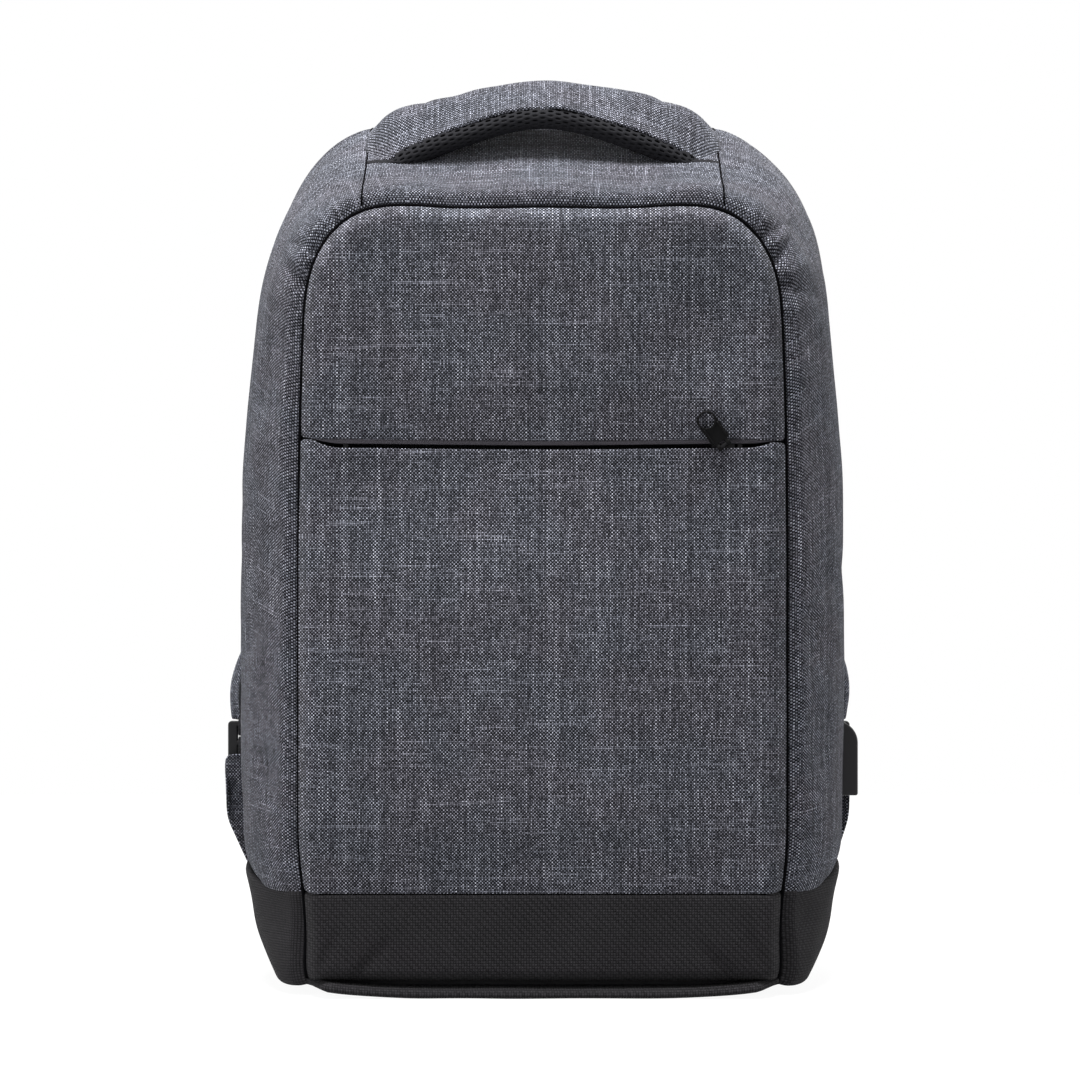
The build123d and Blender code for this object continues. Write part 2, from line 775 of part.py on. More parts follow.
# ---------------------------------------------------------------- grab handle
lean = radians(handle_lean)
handle_plane = Plane(origin=(0, handle_y, handle_z), x_dir=(1, 0, 0), z_dir=(0, -cos(lean), -sin(lean)))
handle_axis = Axis((0, handle_y, handle_z), (1, 0, 0))
arch_radius = (handle_half ** 2 + handle_rise ** 2) / (2 * handle_rise)
arch_low = handle_rise - arch_radius
handle_reach = degrees(atan2(handle_half, -arch_low))


def handle_arc(inside, outside, width):
    """Part of the handle's arch between two radii, measured from its middle line."""
    with BuildPart() as arc:
        with BuildSketch(handle_plane.offset(-width / 2)):
            with BuildLine():
                far = CenterArc((0, arch_low), arch_radius + outside, 90 - handle_reach, 2 * handle_reach)
                near = CenterArc((0, arch_low), arch_radius + inside, 90 - handle_reach, 2 * handle_reach)
                Line(far @ 0, near @ 0)
                Line(far @ 1, near @ 1)
            make_face()
        extrude(amount=width)
    return arc.part


with BuildPart() as body_top:
    add(body_solid(-handle_gap, 0.0, 0.0, base_height))
    add(block((-half_width, half_width), (front_y, rear_y), (handle_z - 60, reach)), mode=Mode.INTERSECT)

# The handle's ends are shaped so that they clear the bag's top while it swings.
with BuildPart() as swing_room:
    for angle in range(-handle_swing, handle_swing + 1, handle_step):
        add(body_top.part.rotate(handle_axis, angle))

half_thick = handle_thickness / 2
with BuildPart() as handle_core:
    add(handle_arc(handle_skin - half_thick, half_thick - handle_skin, handle_width - 2 * handle_skin))
    add(swing_room.part, mode=Mode.SUBTRACT)

with BuildPart() as handle_mesh:
    add(handle_arc(-half_thick, handle_skin - half_thick, handle_width - 2 * handle_edge))
    add(swing_room.part, mode=Mode.SUBTRACT)

with BuildPart() as handle_cover:
    add(handle_arc(-half_thick, half_thick, handle_width))
    long_edges = handle_cover.edges().filter_by(GeomType.CIRCLE).sort_by(SortBy.LENGTH)[-4:]
    fillet(long_edges, radius=handle_edge)
    add(swing_room.part, mode=Mode.SUBTRACT)
    add(handle_core.part, mode=Mode.SUBTRACT)
    add(handle_mesh.part, mode=Mode.SUBTRACT)

write(handle_core.part, "handle_core")
write(handle_mesh.part, "handle_mesh")
write(handle_cover.part, "handle_cover")


# ---------------------------------------------------------------- USB outlet
pod_front = half_width + pod_reach
pod_top = pod_z + pod_height
boss_z = pod_top - pod_wall - boss_radius - boss_clear
socket_x = pod_front - pod_wall - usb_height / 2 - boss_length / 2


def pod_profile(shrink):
    """The pod seen from the front, with a quarter round at its upper outer corner."""
    front = pod_front - shrink
    top = pod_top - shrink
    with BuildSketch() as profile:
        with BuildLine():
            low = pod_z + shrink
            Polyline((pod_back, top), (pod_back, low), (front, low), (front, top - pod_round))
            CenterArc((front - pod_round, top - pod_round), pod_round, 0, 90)
            Line((front - pod_round, top), (pod_back, top))
        make_face()
    return profile.sketch


with BuildPart() as usb_pod_housing:
    with BuildSketch(Plane.XZ.offset(-pod_side[1])):
        add(pod_profile(0.0))
    extrude(amount=pod_width)
    outside = usb_pod_housing.edges().filter_by(lambda edge: edge.center().X > pod_back + pod_edge / 2)
    fillet(outside, radius=pod_edge)
    with BuildSketch(Plane.XZ.offset(pod_wall - pod_side[1])):
        add(pod_profile(pod_wall))
    extrude(amount=pod_width - 2 * pod_wall, mode=Mode.SUBTRACT)
    with BuildSketch(Plane.YZ.offset(pod_back)):
        with Locations((pod_y - boss_spacing / 2, boss_z), (pod_y + boss_spacing / 2, boss_z)):
            Circle(boss_radius)
    extrude(amount=boss_length)
    with BuildSketch(Plane.YZ.offset(pod_back)):
        with Locations((pod_y - boss_spacing / 2, boss_z), (pod_y + boss_spacing / 2, boss_z)):
            Circle(screw_radius)
    extrude(amount=boss_length, mode=Mode.SUBTRACT)
    with BuildSketch(Plane.XY.offset(pod_z - 1)):
        with Locations((socket_x, pod_y)):
            Rectangle(usb_height + 2 * usb_fit, usb_width + 2 * usb_fit)
    extrude(amount=pod_wall + 2, mode=Mode.SUBTRACT)

with BuildPart() as usb_socket_shell:
    with BuildSketch(Plane.XY.offset(pod_z)):
        with Locations((socket_x, pod_y)):
            Rectangle(usb_height, usb_width)
    extrude(amount=usb_length)
    with BuildSketch(Plane.XY.offset(pod_z)):
        with Locations((socket_x, pod_y)):
            Rectangle(usb_height - 2 * usb_metal, usb_width - 2 * usb_metal)
    extrude(amount=usb_length - usb_metal, mode=Mode.SUBTRACT)

tongue_x = socket_x + usb_height / 2 - usb_metal - tongue_thickness / 2
with BuildPart() as usb_socket_tongue:
    with BuildSketch(Plane.XY.offset(pod_z + 1)):
        with Locations((tongue_x, pod_y)):
            Rectangle(tongue_thickness, usb_width - 4 * usb_metal)
    extrude(amount=usb_length - usb_metal - 1)

plate_y_size = pod_width + 2 * plate_margin
plate_z_size = pod_height + 2 * plate_margin
plate_x0 = pod_back - plate_thickness
screw_spots = ((pod_y - boss_spacing / 2, boss_z), (pod_y + boss_spacing / 2, boss_z))
gland_z = pod_z + pod_height / 3
with BuildPart() as usb_pod_backplate:
    with BuildSketch(Plane.YZ.offset(plate_x0)):
        with Locations((pod_y, pod_z + pod_height / 2)):
            RectangleRounded(plate_y_size, plate_z_size, plate_corner)
        with Locations(*screw_spots):
            Circle(screw_radius, mode=Mode.SUBTRACT)
        with Locations((pod_y, gland_z)):
            Circle(gland_bore, mode=Mode.SUBTRACT)
    extrude(amount=plate_thickness)

with BuildPart() as usb_pod_screws:
    with BuildSketch(Plane.YZ.offset(plate_x0)):
        with Locations(*screw_spots):
            Circle(screw_head_radius)
    extrude(amount=-screw_head_height)
    with BuildSketch(Plane.YZ.offset(plate_x0)):
        with Locations(*screw_spots):
            Circle(screw_radius)
    extrude(amount=plate_thickness + boss_length - 1)

with BuildPart() as usb_lead_gland:
    with BuildSketch(Plane.YZ.offset(plate_x0)):
        with Locations((pod_y, gland_z)):
            Circle(gland_radius)
            Circle(gland_bore, mode=Mode.SUBTRACT)
    extrude(amount=-gland_length)

write(usb_pod_housing.part, "usb_pod_housing")
write(usb_socket_shell.part, "usb_socket_shell")
write(usb_socket_tongue.part, "usb_socket_tongue")
write(usb_pod_backplate.part, "usb_pod_backplate")
write(usb_pod_screws.part, "usb_pod_screws")
write(usb_lead_gland.part, "usb_lead_gland")

print("rear zip hinge line", round(hinge_y, 3), hinge_z)
print("panel face", round(cover_back, 3))
print("strap axis", axis_top, axis_low)
print("front pull bar", front_bar.origin, "rear pull bar", rear_bar.origin)
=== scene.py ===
import json
import logging
import math
from dataclasses import dataclass, field
from enum import Enum
from typing import Any, Callable, Sequence

import bmesh
import bpy
import numpy as np
from bpy.types import ID, Material, Mesh, Node, NodeSocket, Object, Scene, World
from mathutils import Matrix, Vector, noise
from mathutils.bvhtree import BVHTree


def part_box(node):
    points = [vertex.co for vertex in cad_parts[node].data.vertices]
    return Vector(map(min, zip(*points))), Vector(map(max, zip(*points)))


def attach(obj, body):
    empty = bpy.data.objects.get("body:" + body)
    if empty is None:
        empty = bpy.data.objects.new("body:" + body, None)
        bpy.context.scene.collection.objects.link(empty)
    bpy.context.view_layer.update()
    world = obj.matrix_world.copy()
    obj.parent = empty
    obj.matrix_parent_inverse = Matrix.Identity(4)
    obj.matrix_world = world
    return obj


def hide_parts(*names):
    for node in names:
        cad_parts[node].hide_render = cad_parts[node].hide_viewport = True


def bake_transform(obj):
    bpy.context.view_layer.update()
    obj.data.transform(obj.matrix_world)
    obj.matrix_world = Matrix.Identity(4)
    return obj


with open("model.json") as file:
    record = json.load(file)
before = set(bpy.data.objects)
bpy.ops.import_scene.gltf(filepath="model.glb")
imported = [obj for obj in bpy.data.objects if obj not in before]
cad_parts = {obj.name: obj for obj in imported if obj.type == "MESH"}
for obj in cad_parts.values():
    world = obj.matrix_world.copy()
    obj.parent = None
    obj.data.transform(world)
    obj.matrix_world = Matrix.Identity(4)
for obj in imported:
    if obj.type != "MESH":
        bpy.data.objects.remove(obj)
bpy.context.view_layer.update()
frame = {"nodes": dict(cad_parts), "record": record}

MM = 0.001
EDGE_CROWDING = 1.35    # how closely the cells of a padded cloth stand near its outline
log = logging.getLogger("laptop_backpack")
Place = Callable[[float, float], Vector]
Lay = Callable[[float, float], Sequence[float]]


# ------------------------------------------------------------------ small maths
def smooth(low: float, high: float, value: float) -> float:
    """Rise smoothly from 0 at low to 1 at high."""
    share = min(max((value - low) / (high - low), 0.0), 1.0)
    return share * share * (3.0 - 2.0 * share)


def mix(a: float, b: float, share: float) -> float:
    """Blend two numbers."""
    return a + (b - a) * share


def bump(value: float, middle: float, width: float) -> float:
    """A round bump of height 1 about a middle."""
    return math.exp(-((value - middle) / width) ** 2)


def square_off(value: float, power: float) -> float:
    """Push a sine or cosine out towards 1 or -1, so that a round section gets fuller."""
    return math.copysign(abs(value) ** power, value)


def ripple(x: float, y: float, z: float, size: float) -> float:
    """Soft noise from -1 to 1 whose lumps are about a size across, in metres."""
    return noise.noise(Vector((x, y, z)) / size)


def arc(points: np.ndarray) -> np.ndarray:
    """Running length along a row of points, from 0."""
    steps = np.linalg.norm(np.diff(points, axis=0), axis=1)
    return np.concatenate(([0.0], np.cumsum(steps)))


class Spline:
    """A smooth cubic curve through given points."""

    def __init__(self, points: Sequence[Sequence[float]], start: Sequence[float] | None = None,
                 end: Sequence[float] | None = None, knots: Sequence[float] | None = None) -> None:
        """Solve the curve.

        Args:
            points: Points that it passes through.
            start: Direction at its start, free if None.
            end: Direction at its end, free if None.
            knots: Position of each point along the curve, its chord length if None.
        """
        self.points = np.asarray(points, dtype=float)
        self.knots = arc(self.points) if knots is None else np.asarray(knots, dtype=float)
        count = len(self.points)
        gaps = np.diff(self.knots)
        slopes = np.diff(self.points, axis=0) / gaps[:, None]
        matrix = np.zeros((count, count))
        right = np.zeros_like(self.points)
        for row in range(1, count - 1):
            matrix[row, row - 1:row + 2] = gaps[row - 1], 2 * (gaps[row - 1] + gaps[row]), gaps[row]
            right[row] = 6 * (slopes[row] - slopes[row - 1])
        matrix[0, 0] = matrix[-1, -1] = 1.0
        if start is not None:
            matrix[0, :2] = 2 * gaps[0], gaps[0]
            right[0] = 6 * (slopes[0] - np.asarray(start) / np.linalg.norm(start))
        if end is not None:
            matrix[-1, -2:] = gaps[-1], 2 * gaps[-1]
            right[-1] = 6 * (np.asarray(end) / np.linalg.norm(end) - slopes[-1])
        self.bends = np.linalg.solve(matrix, right)

    def at(self, knot: float) -> np.ndarray:
        """Point at a position along the curve."""
        piece = int(np.clip(np.searchsorted(self.knots, knot) - 1, 0, len(self.knots) - 2))
        low, high = self.knots[piece], self.knots[piece + 1]
        gap = high - low
        a, b = (high - knot) / gap, (knot - low) / gap
        return (a * self.points[piece] + b * self.points[piece + 1]
                + ((a ** 3 - a) * self.bends[piece] + (b ** 3 - b) * self.bends[piece + 1]) * gap ** 2 / 6)

    def walk(self, count: int) -> np.ndarray:
        """Points at even steps of its knots."""
        return np.array([self.at(k) for k in np.linspace(self.knots[0], self.knots[-1], count)])


class Path:
    """A row of points with its own running length, read by share or by distance."""

    def __init__(self, points: np.ndarray) -> None:
        self.points = np.asarray(points, dtype=float)
        self.lengths = arc(self.points)
        self.length = float(self.lengths[-1])

    def at(self, share: float) -> np.ndarray:
        """Point at a share of the length."""
        place = share * self.length
        return np.array([np.interp(place, self.lengths, column) for column in self.points.T])

    def run(self, share: float, step: float) -> np.ndarray:
        """Way from a step before a share to a step past it."""
        return self.at(min(share + step, 1.0)) - self.at(max(share - step, 0.0))

    def distance(self, point: Sequence[float]) -> float:
        """Shortest distance from a point to the path."""
        a, b = self.points[:-1], self.points[1:]
        run = b - a
        away = np.asarray(point) - a
        share = np.clip((away * run).sum(1) / np.maximum((run * run).sum(1), 1e-18), 0, 1)
        return float(np.sqrt((((away - run * share[:, None])) ** 2).sum(1).min()))


# ------------------------------------------------------------------ shader helpers
class Number:
    """A number socket that takes part in Python expressions."""

    def __init__(self, graph: "Graph", socket: NodeSocket) -> None:
        self.graph = graph
        self.socket = socket

    def __add__(self, other: Any) -> "Number":
        return self.graph.maths("ADD", self, other)

    def __sub__(self, other: Any) -> "Number":
        return self.graph.maths("SUBTRACT", self, other)

    def __rsub__(self, other: Any) -> "Number":
        return self.graph.maths("SUBTRACT", other, self)

    def __mul__(self, other: Any) -> "Number":
        return self.graph.maths("MULTIPLY", self, other)

    def __truediv__(self, other: Any) -> "Number":
        return self.graph.maths("DIVIDE", self, other)

    def __pow__(self, other: Any) -> "Number":
        return self.graph.maths("POWER", self, other)

    def floor(self) -> "Number":
        """Whole part."""
        return self.graph.maths("FLOOR", self)

    def fract(self) -> "Number":
        """Part after the point."""
        return self.graph.maths("FRACT", self)

    def hump(self) -> "Number":
        """Sine of pi times the number: 0, up to 1 half way, and back to 0."""
        return self.graph.maths("SINE", self * math.pi)

    def above(self, limit: float) -> "Number":
        """1 where the number is above a limit, else 0."""
        return self.graph.maths("GREATER_THAN", self, limit)

    def rise(self, low: float, high: float) -> "Number":
        """Smooth step from 0 to 1 between two limits."""
        step = self.graph.node("ShaderNodeMapRange", {"interpolation_type": "SMOOTHSTEP"},
                               {"Value": self, "From Min": low, "From Max": high})
        return Number(self.graph, step.outputs[0])


class Graph:
    """The node graph of one material or of the world."""

    def __init__(self, owner: Material | World) -> None:
        self.owner = owner
        owner.use_nodes = True
        self.tree = owner.node_tree
        self.tree.nodes.clear()

    def node(self, kind: str, settings: dict[str, Any] | None = None,
             inputs: dict[Any, Any] | None = None) -> Node:
        """Add a node.

        Args:
            kind: Its type.
            settings: Its own settings, set first.  "stops" fills a colour ramp.
            inputs: Values or links of its sockets, by name or number.

        Returns:
            The node.
        """
        made = self.tree.nodes.new(kind)
        for key, value in (settings or {}).items():
            if key == "stops":
                for index, (place, colour) in enumerate(value):
                    ramp = made.color_ramp.elements
                    stop = ramp[index] if index < len(ramp) else ramp.new(place)
                    stop.position, stop.color = place, colour
            else:
                setattr(made, key, value)
        for key, value in (inputs or {}).items():
            self.feed(made.inputs[key], value)
        return made

    def feed(self, socket: NodeSocket, value: Any) -> None:
        """Link or set one socket."""
        if isinstance(value, Number):
            value = value.socket
        if isinstance(value, NodeSocket):
            self.tree.links.new(value, socket)
        else:
            socket.default_value = value

    def maths(self, operation: str, *values: Any) -> Number:
        """A Math node on numbers or number sockets."""
        made = self.node("ShaderNodeMath", {"operation": operation}, dict(enumerate(values)))
        return Number(self, made.outputs[0])

    def coordinates(self, surface: bool) -> NodeSocket:
        """The piece's own cloth map, or the object's coordinates."""
        return self.node("ShaderNodeTexCoord").outputs["UV" if surface else "Object"]

    def split(self, vector: NodeSocket) -> tuple[Number, Number, Number]:
        """The three parts of a vector."""
        parts = self.node("ShaderNodeSeparateXYZ", None, {0: vector}).outputs
        return Number(self, parts[0]), Number(self, parts[1]), Number(self, parts[2])

    def join(self, x: Any, y: Any, z: Any = 0.0) -> NodeSocket:
        """A vector of three numbers."""
        return self.node("ShaderNodeCombineXYZ", None, {0: x, 1: y, 2: z}).outputs[0]

    def noise(self, vector: NodeSocket, scale: float, detail: float = 2.0,
              roughness: float = 0.5) -> Number:
        """Smooth noise, about 0.5."""
        made = self.node("ShaderNodeTexNoise", None,
                         {"Vector": vector, "Scale": scale, "Detail": detail, "Roughness": roughness})
        return Number(self, made.outputs[0])

    def speckle(self, vector: NodeSocket) -> Number:
        """A number from 0 to 1 for each whole position."""
        made = self.node("ShaderNodeTexWhiteNoise", {"noise_dimensions": "3D"}, {"Vector": vector})
        return Number(self, made.outputs[0])

    def tint(self, share: Any, a: Any, b: Any, blend: str = "MIX") -> NodeSocket:
        """Blend two colours."""
        made = self.node("ShaderNodeMix", {"data_type": "RGBA", "blend_type": blend}, {0: share, 6: a, 7: b})
        return made.outputs[2]

    def shaded(self, base: tuple, light: Number) -> NodeSocket:
        """A colour made darker or lighter by a factor."""
        return self.tint(1.0, base, self.join(light, light, light), "MULTIPLY")

    def relief(self, height: Number, depth: float, strength: float) -> NodeSocket:
        """A normal that stands for a height of up to a depth, in metres."""
        inputs = {"Height": height, "Distance": depth, "Strength": strength}
        return self.node("ShaderNodeBump", None, inputs).outputs[0]

    def surface(self, inputs: dict[str, Any]) -> Material:
        """Finish the material with a Principled shader."""
        shader = self.node("ShaderNodeBsdfPrincipled", None, inputs)
        self.node("ShaderNodeOutputMaterial", None, {0: shader.outputs[0]})
        return self.owner

    def seen(self) -> Number:
        """1 for rays that show the background itself: camera, glossy and transmission."""
        path = self.node("ShaderNodeLightPath").outputs
        rays = [Number(self, path[f"Is {kind} Ray"]) for kind in ("Camera", "Glossy", "Transmission")]
        return self.maths("MAXIMUM", self.maths("MAXIMUM", rays[0], rays[1]), rays[2])


def colour(red: float, green: float, blue: float) -> tuple[float, float, float, float]:
    """A colour given by its 0 to 255 screen values."""
    linear = [(c / 255 / 12.92 if c <= 10.3 else ((c / 255 + 0.055) / 1.055) ** 2.4) for c in (red, green, blue)]
    return (*linear, 1.0)


# ------------------------------------------------------------------ finishes
@dataclass(frozen=True)
class Melange:
    """Two-tone grey plain weave: light warp, dark weft, lighter slubs along some threads."""

    name: str = "melange_weave"
    pitch: float = 0.84            # mm between threads
    # deep is the near-black of the gaps between threads: painted shade.
    deep: tuple = colour(5, 5, 6)
    dark: tuple = colour(50, 51, 56)
    middle: tuple = colour(132, 133, 142)
    light: tuple = colour(238, 240, 250)
    warm: tuple = colour(122, 113, 123)
    cool: tuple = colour(113, 121, 133)
    slub: float = 0.36

    def build(self) -> Material:
        """Make the material."""
        g = Graph(bpy.data.materials.new(self.name))
        x, y, _ = g.split(g.coordinates(True))
        wobble = g.noise(g.join(x, y), 90.0, 1.0) - 0.5
        u = x * 1000.0 / self.pitch + wobble * 0.7
        v = y * 1000.0 / self.pitch + wobble * 0.5
        column, row = u.floor(), v.floor()
        over = ((column + row) * 0.5).fract().above(0.25)
        across, along = u.fract().hump(), v.fract().hump()
        cell = g.speckle(g.join(column, row, 2.3)) - 0.5
        warp = self._thread(g, column, v, 3.1, 0.55) + 0.36
        weft = self._thread(g, row, u, 7.7, 1.0) - 0.06
        thread = over * warp + (1.0 - over) * weft + cell * 0.30
        # dome darkens each thread towards its edges, down to the deep colour in the gaps: painted shade between the
        # threads.
        dome = (across * along).rise(0.0, 0.6)
        shade = thread * (dome * 0.78 + 0.22)
        ramp = g.node("ShaderNodeValToRGB", {"stops": ((0.0, self.deep), (0.26, self.dark), (0.56, self.middle),
                                                       (1.0, self.light))}, {0: shade})
        patch = g.noise(g.join(x, y), 26.0, 2.0).rise(0.38, 0.62)
        hue = g.tint(patch, self.warm, self.cool)
        paint = g.tint(0.36, ramp.outputs[0], hue, "OVERLAY")
        normal = g.relief(across * along + thread * 0.25, 0.00022, 0.8)
        return g.surface({"Base Color": paint, "Normal": normal, "Roughness": 0.88, "Sheen Weight": 0.05,
                          "Sheen Roughness": 0.5, "Specular IOR Level": 0.08})

    def _thread(self, g: Graph, index: Number, along: Number, seed: float, strength: float) -> Number:
        """Tone of a thread: its own, its drift along its length, and a slub in places."""
        own = g.speckle(g.join(index, seed))
        drift = g.noise(g.join(index * 5.37, along * 0.10, seed), 1.0, 1.0)
        slub = g.noise(g.join(index * 3.91, along * 0.022, seed + 5.0), 1.0, 0.0).rise(0.62, 0.80)
        return own * 0.20 + drift * 0.42 + slub * (self.slub * strength)


@dataclass(frozen=True)
class CoarseWeave:
    """Plain dark fabric with a fine twill."""

    name: str
    base: tuple
    pitch: float = 0.62
    depth: float = 0.00022
    contrast: float = 0.5

    def build(self) -> Material:
        """Make the material."""
        g = Graph(bpy.data.materials.new(self.name))
        x, y, _ = g.split(g.coordinates(True))
        u, v = x * 1000.0 / self.pitch, y * 1000.0 / self.pitch
        over = ((u.floor() + v.floor()) * 0.3334).fract().above(0.3)
        # dome lightens the middle of each thread and darkens the gaps between them: painted shade, laid over the twill
        # and the random tone.
        dome = u.fract().hump() * v.fract().hump()
        tone = g.speckle(g.join(u.floor(), v.floor())) * 0.35 + g.noise(g.join(x, y), 35.0, 3.0) * 0.5
        light = (dome * 1.1 + over * 0.4 + tone * 0.6) * self.contrast + (1.0 - self.contrast * 0.9)
        paint = g.shaded(self.base, light)
        normal = g.relief(dome + over * 0.5, self.depth, 0.8)
        return g.surface({"Base Color": paint, "Normal": normal, "Roughness": 0.86, "Sheen Weight": 0.03,
                          "Specular IOR Level": 0.1})


@dataclass(frozen=True)
class Webbing:
    """Ribbed narrow webbing: chevrons across its width."""

    name: str = "ribbed_webbing"
    base: tuple = colour(34, 34, 37)
    rib: float = 1.5

    def build(self) -> Material:
        """Make the material."""
        g = Graph(bpy.data.materials.new(self.name))
        x, y, _ = g.split(g.coordinates(True))
        u, v = x * 1000.0 / self.rib, y * 1000.0 / self.rib
        lean = (u.floor() * 0.5).fract().above(0.25)
        # rib lightens the crest of each rib and darkens the gaps between ribs: painted shade, laid over the chevron
        # pattern.
        rib = (v + u * (lean * 2.0 - 1.0) * 0.7).fract().hump() * u.fract().hump()
        light = rib * 0.55 + g.noise(g.join(x, y), 60.0, 2.0) * 0.4 + 0.45
        paint = g.shaded(self.base, light)
        return g.surface({"Base Color": paint, "Normal": g.relief(rib, 0.0003, 0.8), "Roughness": 0.7,
                          "Sheen Weight": 0.03, "Specular IOR Level": 0.15})


@dataclass(frozen=True)
class SpacerMesh:
    """Knitted mesh with staggered round holes over dark foam; the holes' near-black is partly that foam and partly
    painted shade, and the knit carries painted shade between its loops.
    """

    name: str = "spacer_mesh"
    base: tuple = colour(64, 64, 68)
    # deep is the near-black inside the holes: partly the dark foam below, partly painted shade.
    deep: tuple = colour(17, 17, 19)
    wide: float = 3.6
    high: float = 3.0

    def build(self) -> Material:
        """Make the material."""
        g = Graph(bpy.data.materials.new(self.name))
        x, y, _ = g.split(g.coordinates(True))
        v = y * 1000.0 / self.high
        u = x * 1000.0 / self.wide + (v.floor() * 0.5).fract()
        off_u, off_v = u.fract() - 0.5, v.fract() - 0.5
        away = (off_u * off_u + off_v * off_v * 0.8) ** 0.5
        # rim paints the holes with the deep colour, partly foam and partly painted shade inside them; knit darkens the
        # gaps between loops as painted shade.
        rim = away.rise(0.20, 0.36)
        knit = (x * 1000.0 / 0.55).fract().hump() * (y * 1000.0 / 0.75).fract().hump()
        shade = rim * (knit * 0.45 + 0.55)
        paint = g.tint(shade, self.deep, self.base)
        normal = g.relief(rim + knit * 0.18, 0.0011, 0.9)
        return g.surface({"Base Color": paint, "Normal": normal, "Roughness": 0.82, "Sheen Weight": 0.04,
                          "Specular IOR Level": 0.1})


@dataclass(frozen=True)
class Moulded:
    """Matte moulded plastic or rubber with a fine grain."""

    name: str
    base: tuple
    roughness: float = 0.5
    grain: float = 0.00004
    metallic: float = 0.0
    gloss: float = 0.22

    def build(self) -> Material:
        """Make the material."""
        g = Graph(bpy.data.materials.new(self.name))
        place = g.coordinates(False)
        fine = g.noise(place, 2600.0, 2.0, 0.6)
        broad = g.noise(place, 60.0, 3.0)
        light = broad * 0.3 + fine * 0.12 + 0.8
        paint = g.shaded(self.base, light)
        rough = broad * 0.16 + fine * 0.08 + (self.roughness - 0.12)
        return g.surface({"Base Color": paint, "Roughness": rough, "Normal": g.relief(fine, self.grain, 0.6),
                          "Metallic": self.metallic, "Specular IOR Level": self.gloss})


class Finishes:
    """Every finish of the bag, made once."""

    def __init__(self) -> None:
        self.melange = Melange().build()
        self.black = CoarseWeave("black_base_weave", colour(38, 37, 39), 1.3, 0.0004, 1.25).build()
        self.lining = CoarseWeave("lining_taffeta", colour(52, 52, 55), 0.45, 0.00008, 0.2).build()
        self.webbing = Webbing().build()
        self.pocket_tape = Webbing("pocket_tape_weave", colour(92, 89, 96), 0.9).build()
        self.mesh = SpacerMesh().build()
        self.plastic = Moulded("buckle_plastic", colour(22, 22, 24), 0.42).build()
        self.pod = Moulded("outlet_plastic", colour(26, 25, 28), 0.42).build()
        self.metal = Moulded("painted_zinc", colour(30, 30, 32), 0.36, 0.00002, 0.5).build()
        self.rubber = Moulded("pull_rubber", colour(13, 13, 14), 0.5, gloss=0.07).build()
        self.board = Moulded("stiff_board", colour(62, 62, 64), 0.75, 0.0001).build()
        self.foam = Moulded("soft_foam", colour(34, 34, 36), 0.9, 0.0002).build()
        self.steel = Moulded("plated_steel", colour(196, 196, 200), 0.28, 0.00001, 1.0).build()
        self.knit = Moulded("handle_knit", colour(38, 38, 41), 0.8, 0.0001, gloss=0.1).build()
        # Near-black colour of the thin tubes laid along seams: painted shadow of the seam grooves.
        self.seam_shade = Moulded("seam_shadow_cord", colour(11, 11, 13), 0.95, 0.0001, gloss=0.02).build()
        self.thread = Moulded("sewing_thread", colour(66, 66, 73), 0.7, 0.00005).build()


# ------------------------------------------------------------------ mesh helpers
def object_from(bm: bmesh.types.BMesh, name: str, *materials: Material) -> Object:
    """Turn a bmesh into a smooth-shaded object in the scene."""
    mesh = bpy.data.meshes.new(name)
    bm.to_mesh(mesh)
    bm.free()
    for polygon in mesh.polygons:
        polygon.use_smooth = True
    piece = bpy.data.objects.new(name, mesh)
    bpy.context.scene.collection.objects.link(piece)
    for material in materials:
        mesh.materials.append(material)
    return piece


def welded(mesh: Mesh) -> bmesh.types.BMesh:
    """A mesh to edit, with the points that lie on each other joined."""
    bm = bmesh.new()
    bm.from_mesh(mesh)
    bmesh.ops.remove_doubles(bm, verts=bm.verts[:], dist=1e-6)
    return bm


def merge(name: str, pieces: Sequence[Object]) -> Object:
    """Join several objects into the first and name it."""
    bpy.ops.object.select_all(action="DESELECT")
    for piece in pieces:
        piece.select_set(True)
    bpy.context.view_layer.objects.active = pieces[0]
    bpy.ops.object.join()
    pieces[0].name = pieces[0].data.name = name
    return pieces[0]


def sheet(name: str, columns: int, rows: int, place: Place, lay: Lay, *materials: Material,
          relief: Callable[[float, float, Vector], float] | None = None, flip: bool = False) -> Object:
    """A square of cloth laid over a surface.

    Args:
        name: Name of the piece.
        columns: Cells along u.
        rows: Cells along v.
        place: Point for each (u, v) from 0 to 1.
        lay: Position on the flat cloth for each (u, v), in metres.
        materials: Its finishes.
        relief: Distance to lift each point along the normal.
        flip: Turn the faces round.

    Returns:
        The object.
    """
    bm = bmesh.new()
    layer = bm.loops.layers.uv.new("cloth")
    bmesh.ops.create_grid(bm, x_segments=columns, y_segments=rows, size=0.5)
    shares = {vert: (vert.co.x + 0.5, vert.co.y + 0.5) for vert in bm.verts}
    for vert, (u, v) in shares.items():
        vert.co = place(u, v)
    for face in bm.faces:
        for loop in face.loops:
            loop[layer].uv = lay(*shares[loop.vert])
    if flip:
        bmesh.ops.reverse_faces(bm, faces=bm.faces[:])
    bm.normal_update()
    if relief:
        lifts = {vert: vert.normal * relief(*shares[vert], vert.co) for vert in bm.verts}
        for vert, lift in lifts.items():
            vert.co += lift
    return object_from(bm, name, *materials)


def soften(piece: Object) -> None:
    """Smooth a piece by one level of subdivision."""
    soft = piece.modifiers.new("soft", "SUBSURF")
    soft.levels = soft.render_levels = 1


def thicken(piece: Object, thickness: float, inner: int = 0) -> None:
    """Give a sheet its thickness on its inner side, which may have its own finish, and smooth it."""
    wall = piece.modifiers.new("wall", "SOLIDIFY")
    wall.thickness = thickness
    wall.offset = -1.0
    wall.material_offset = inner
    soften(piece)


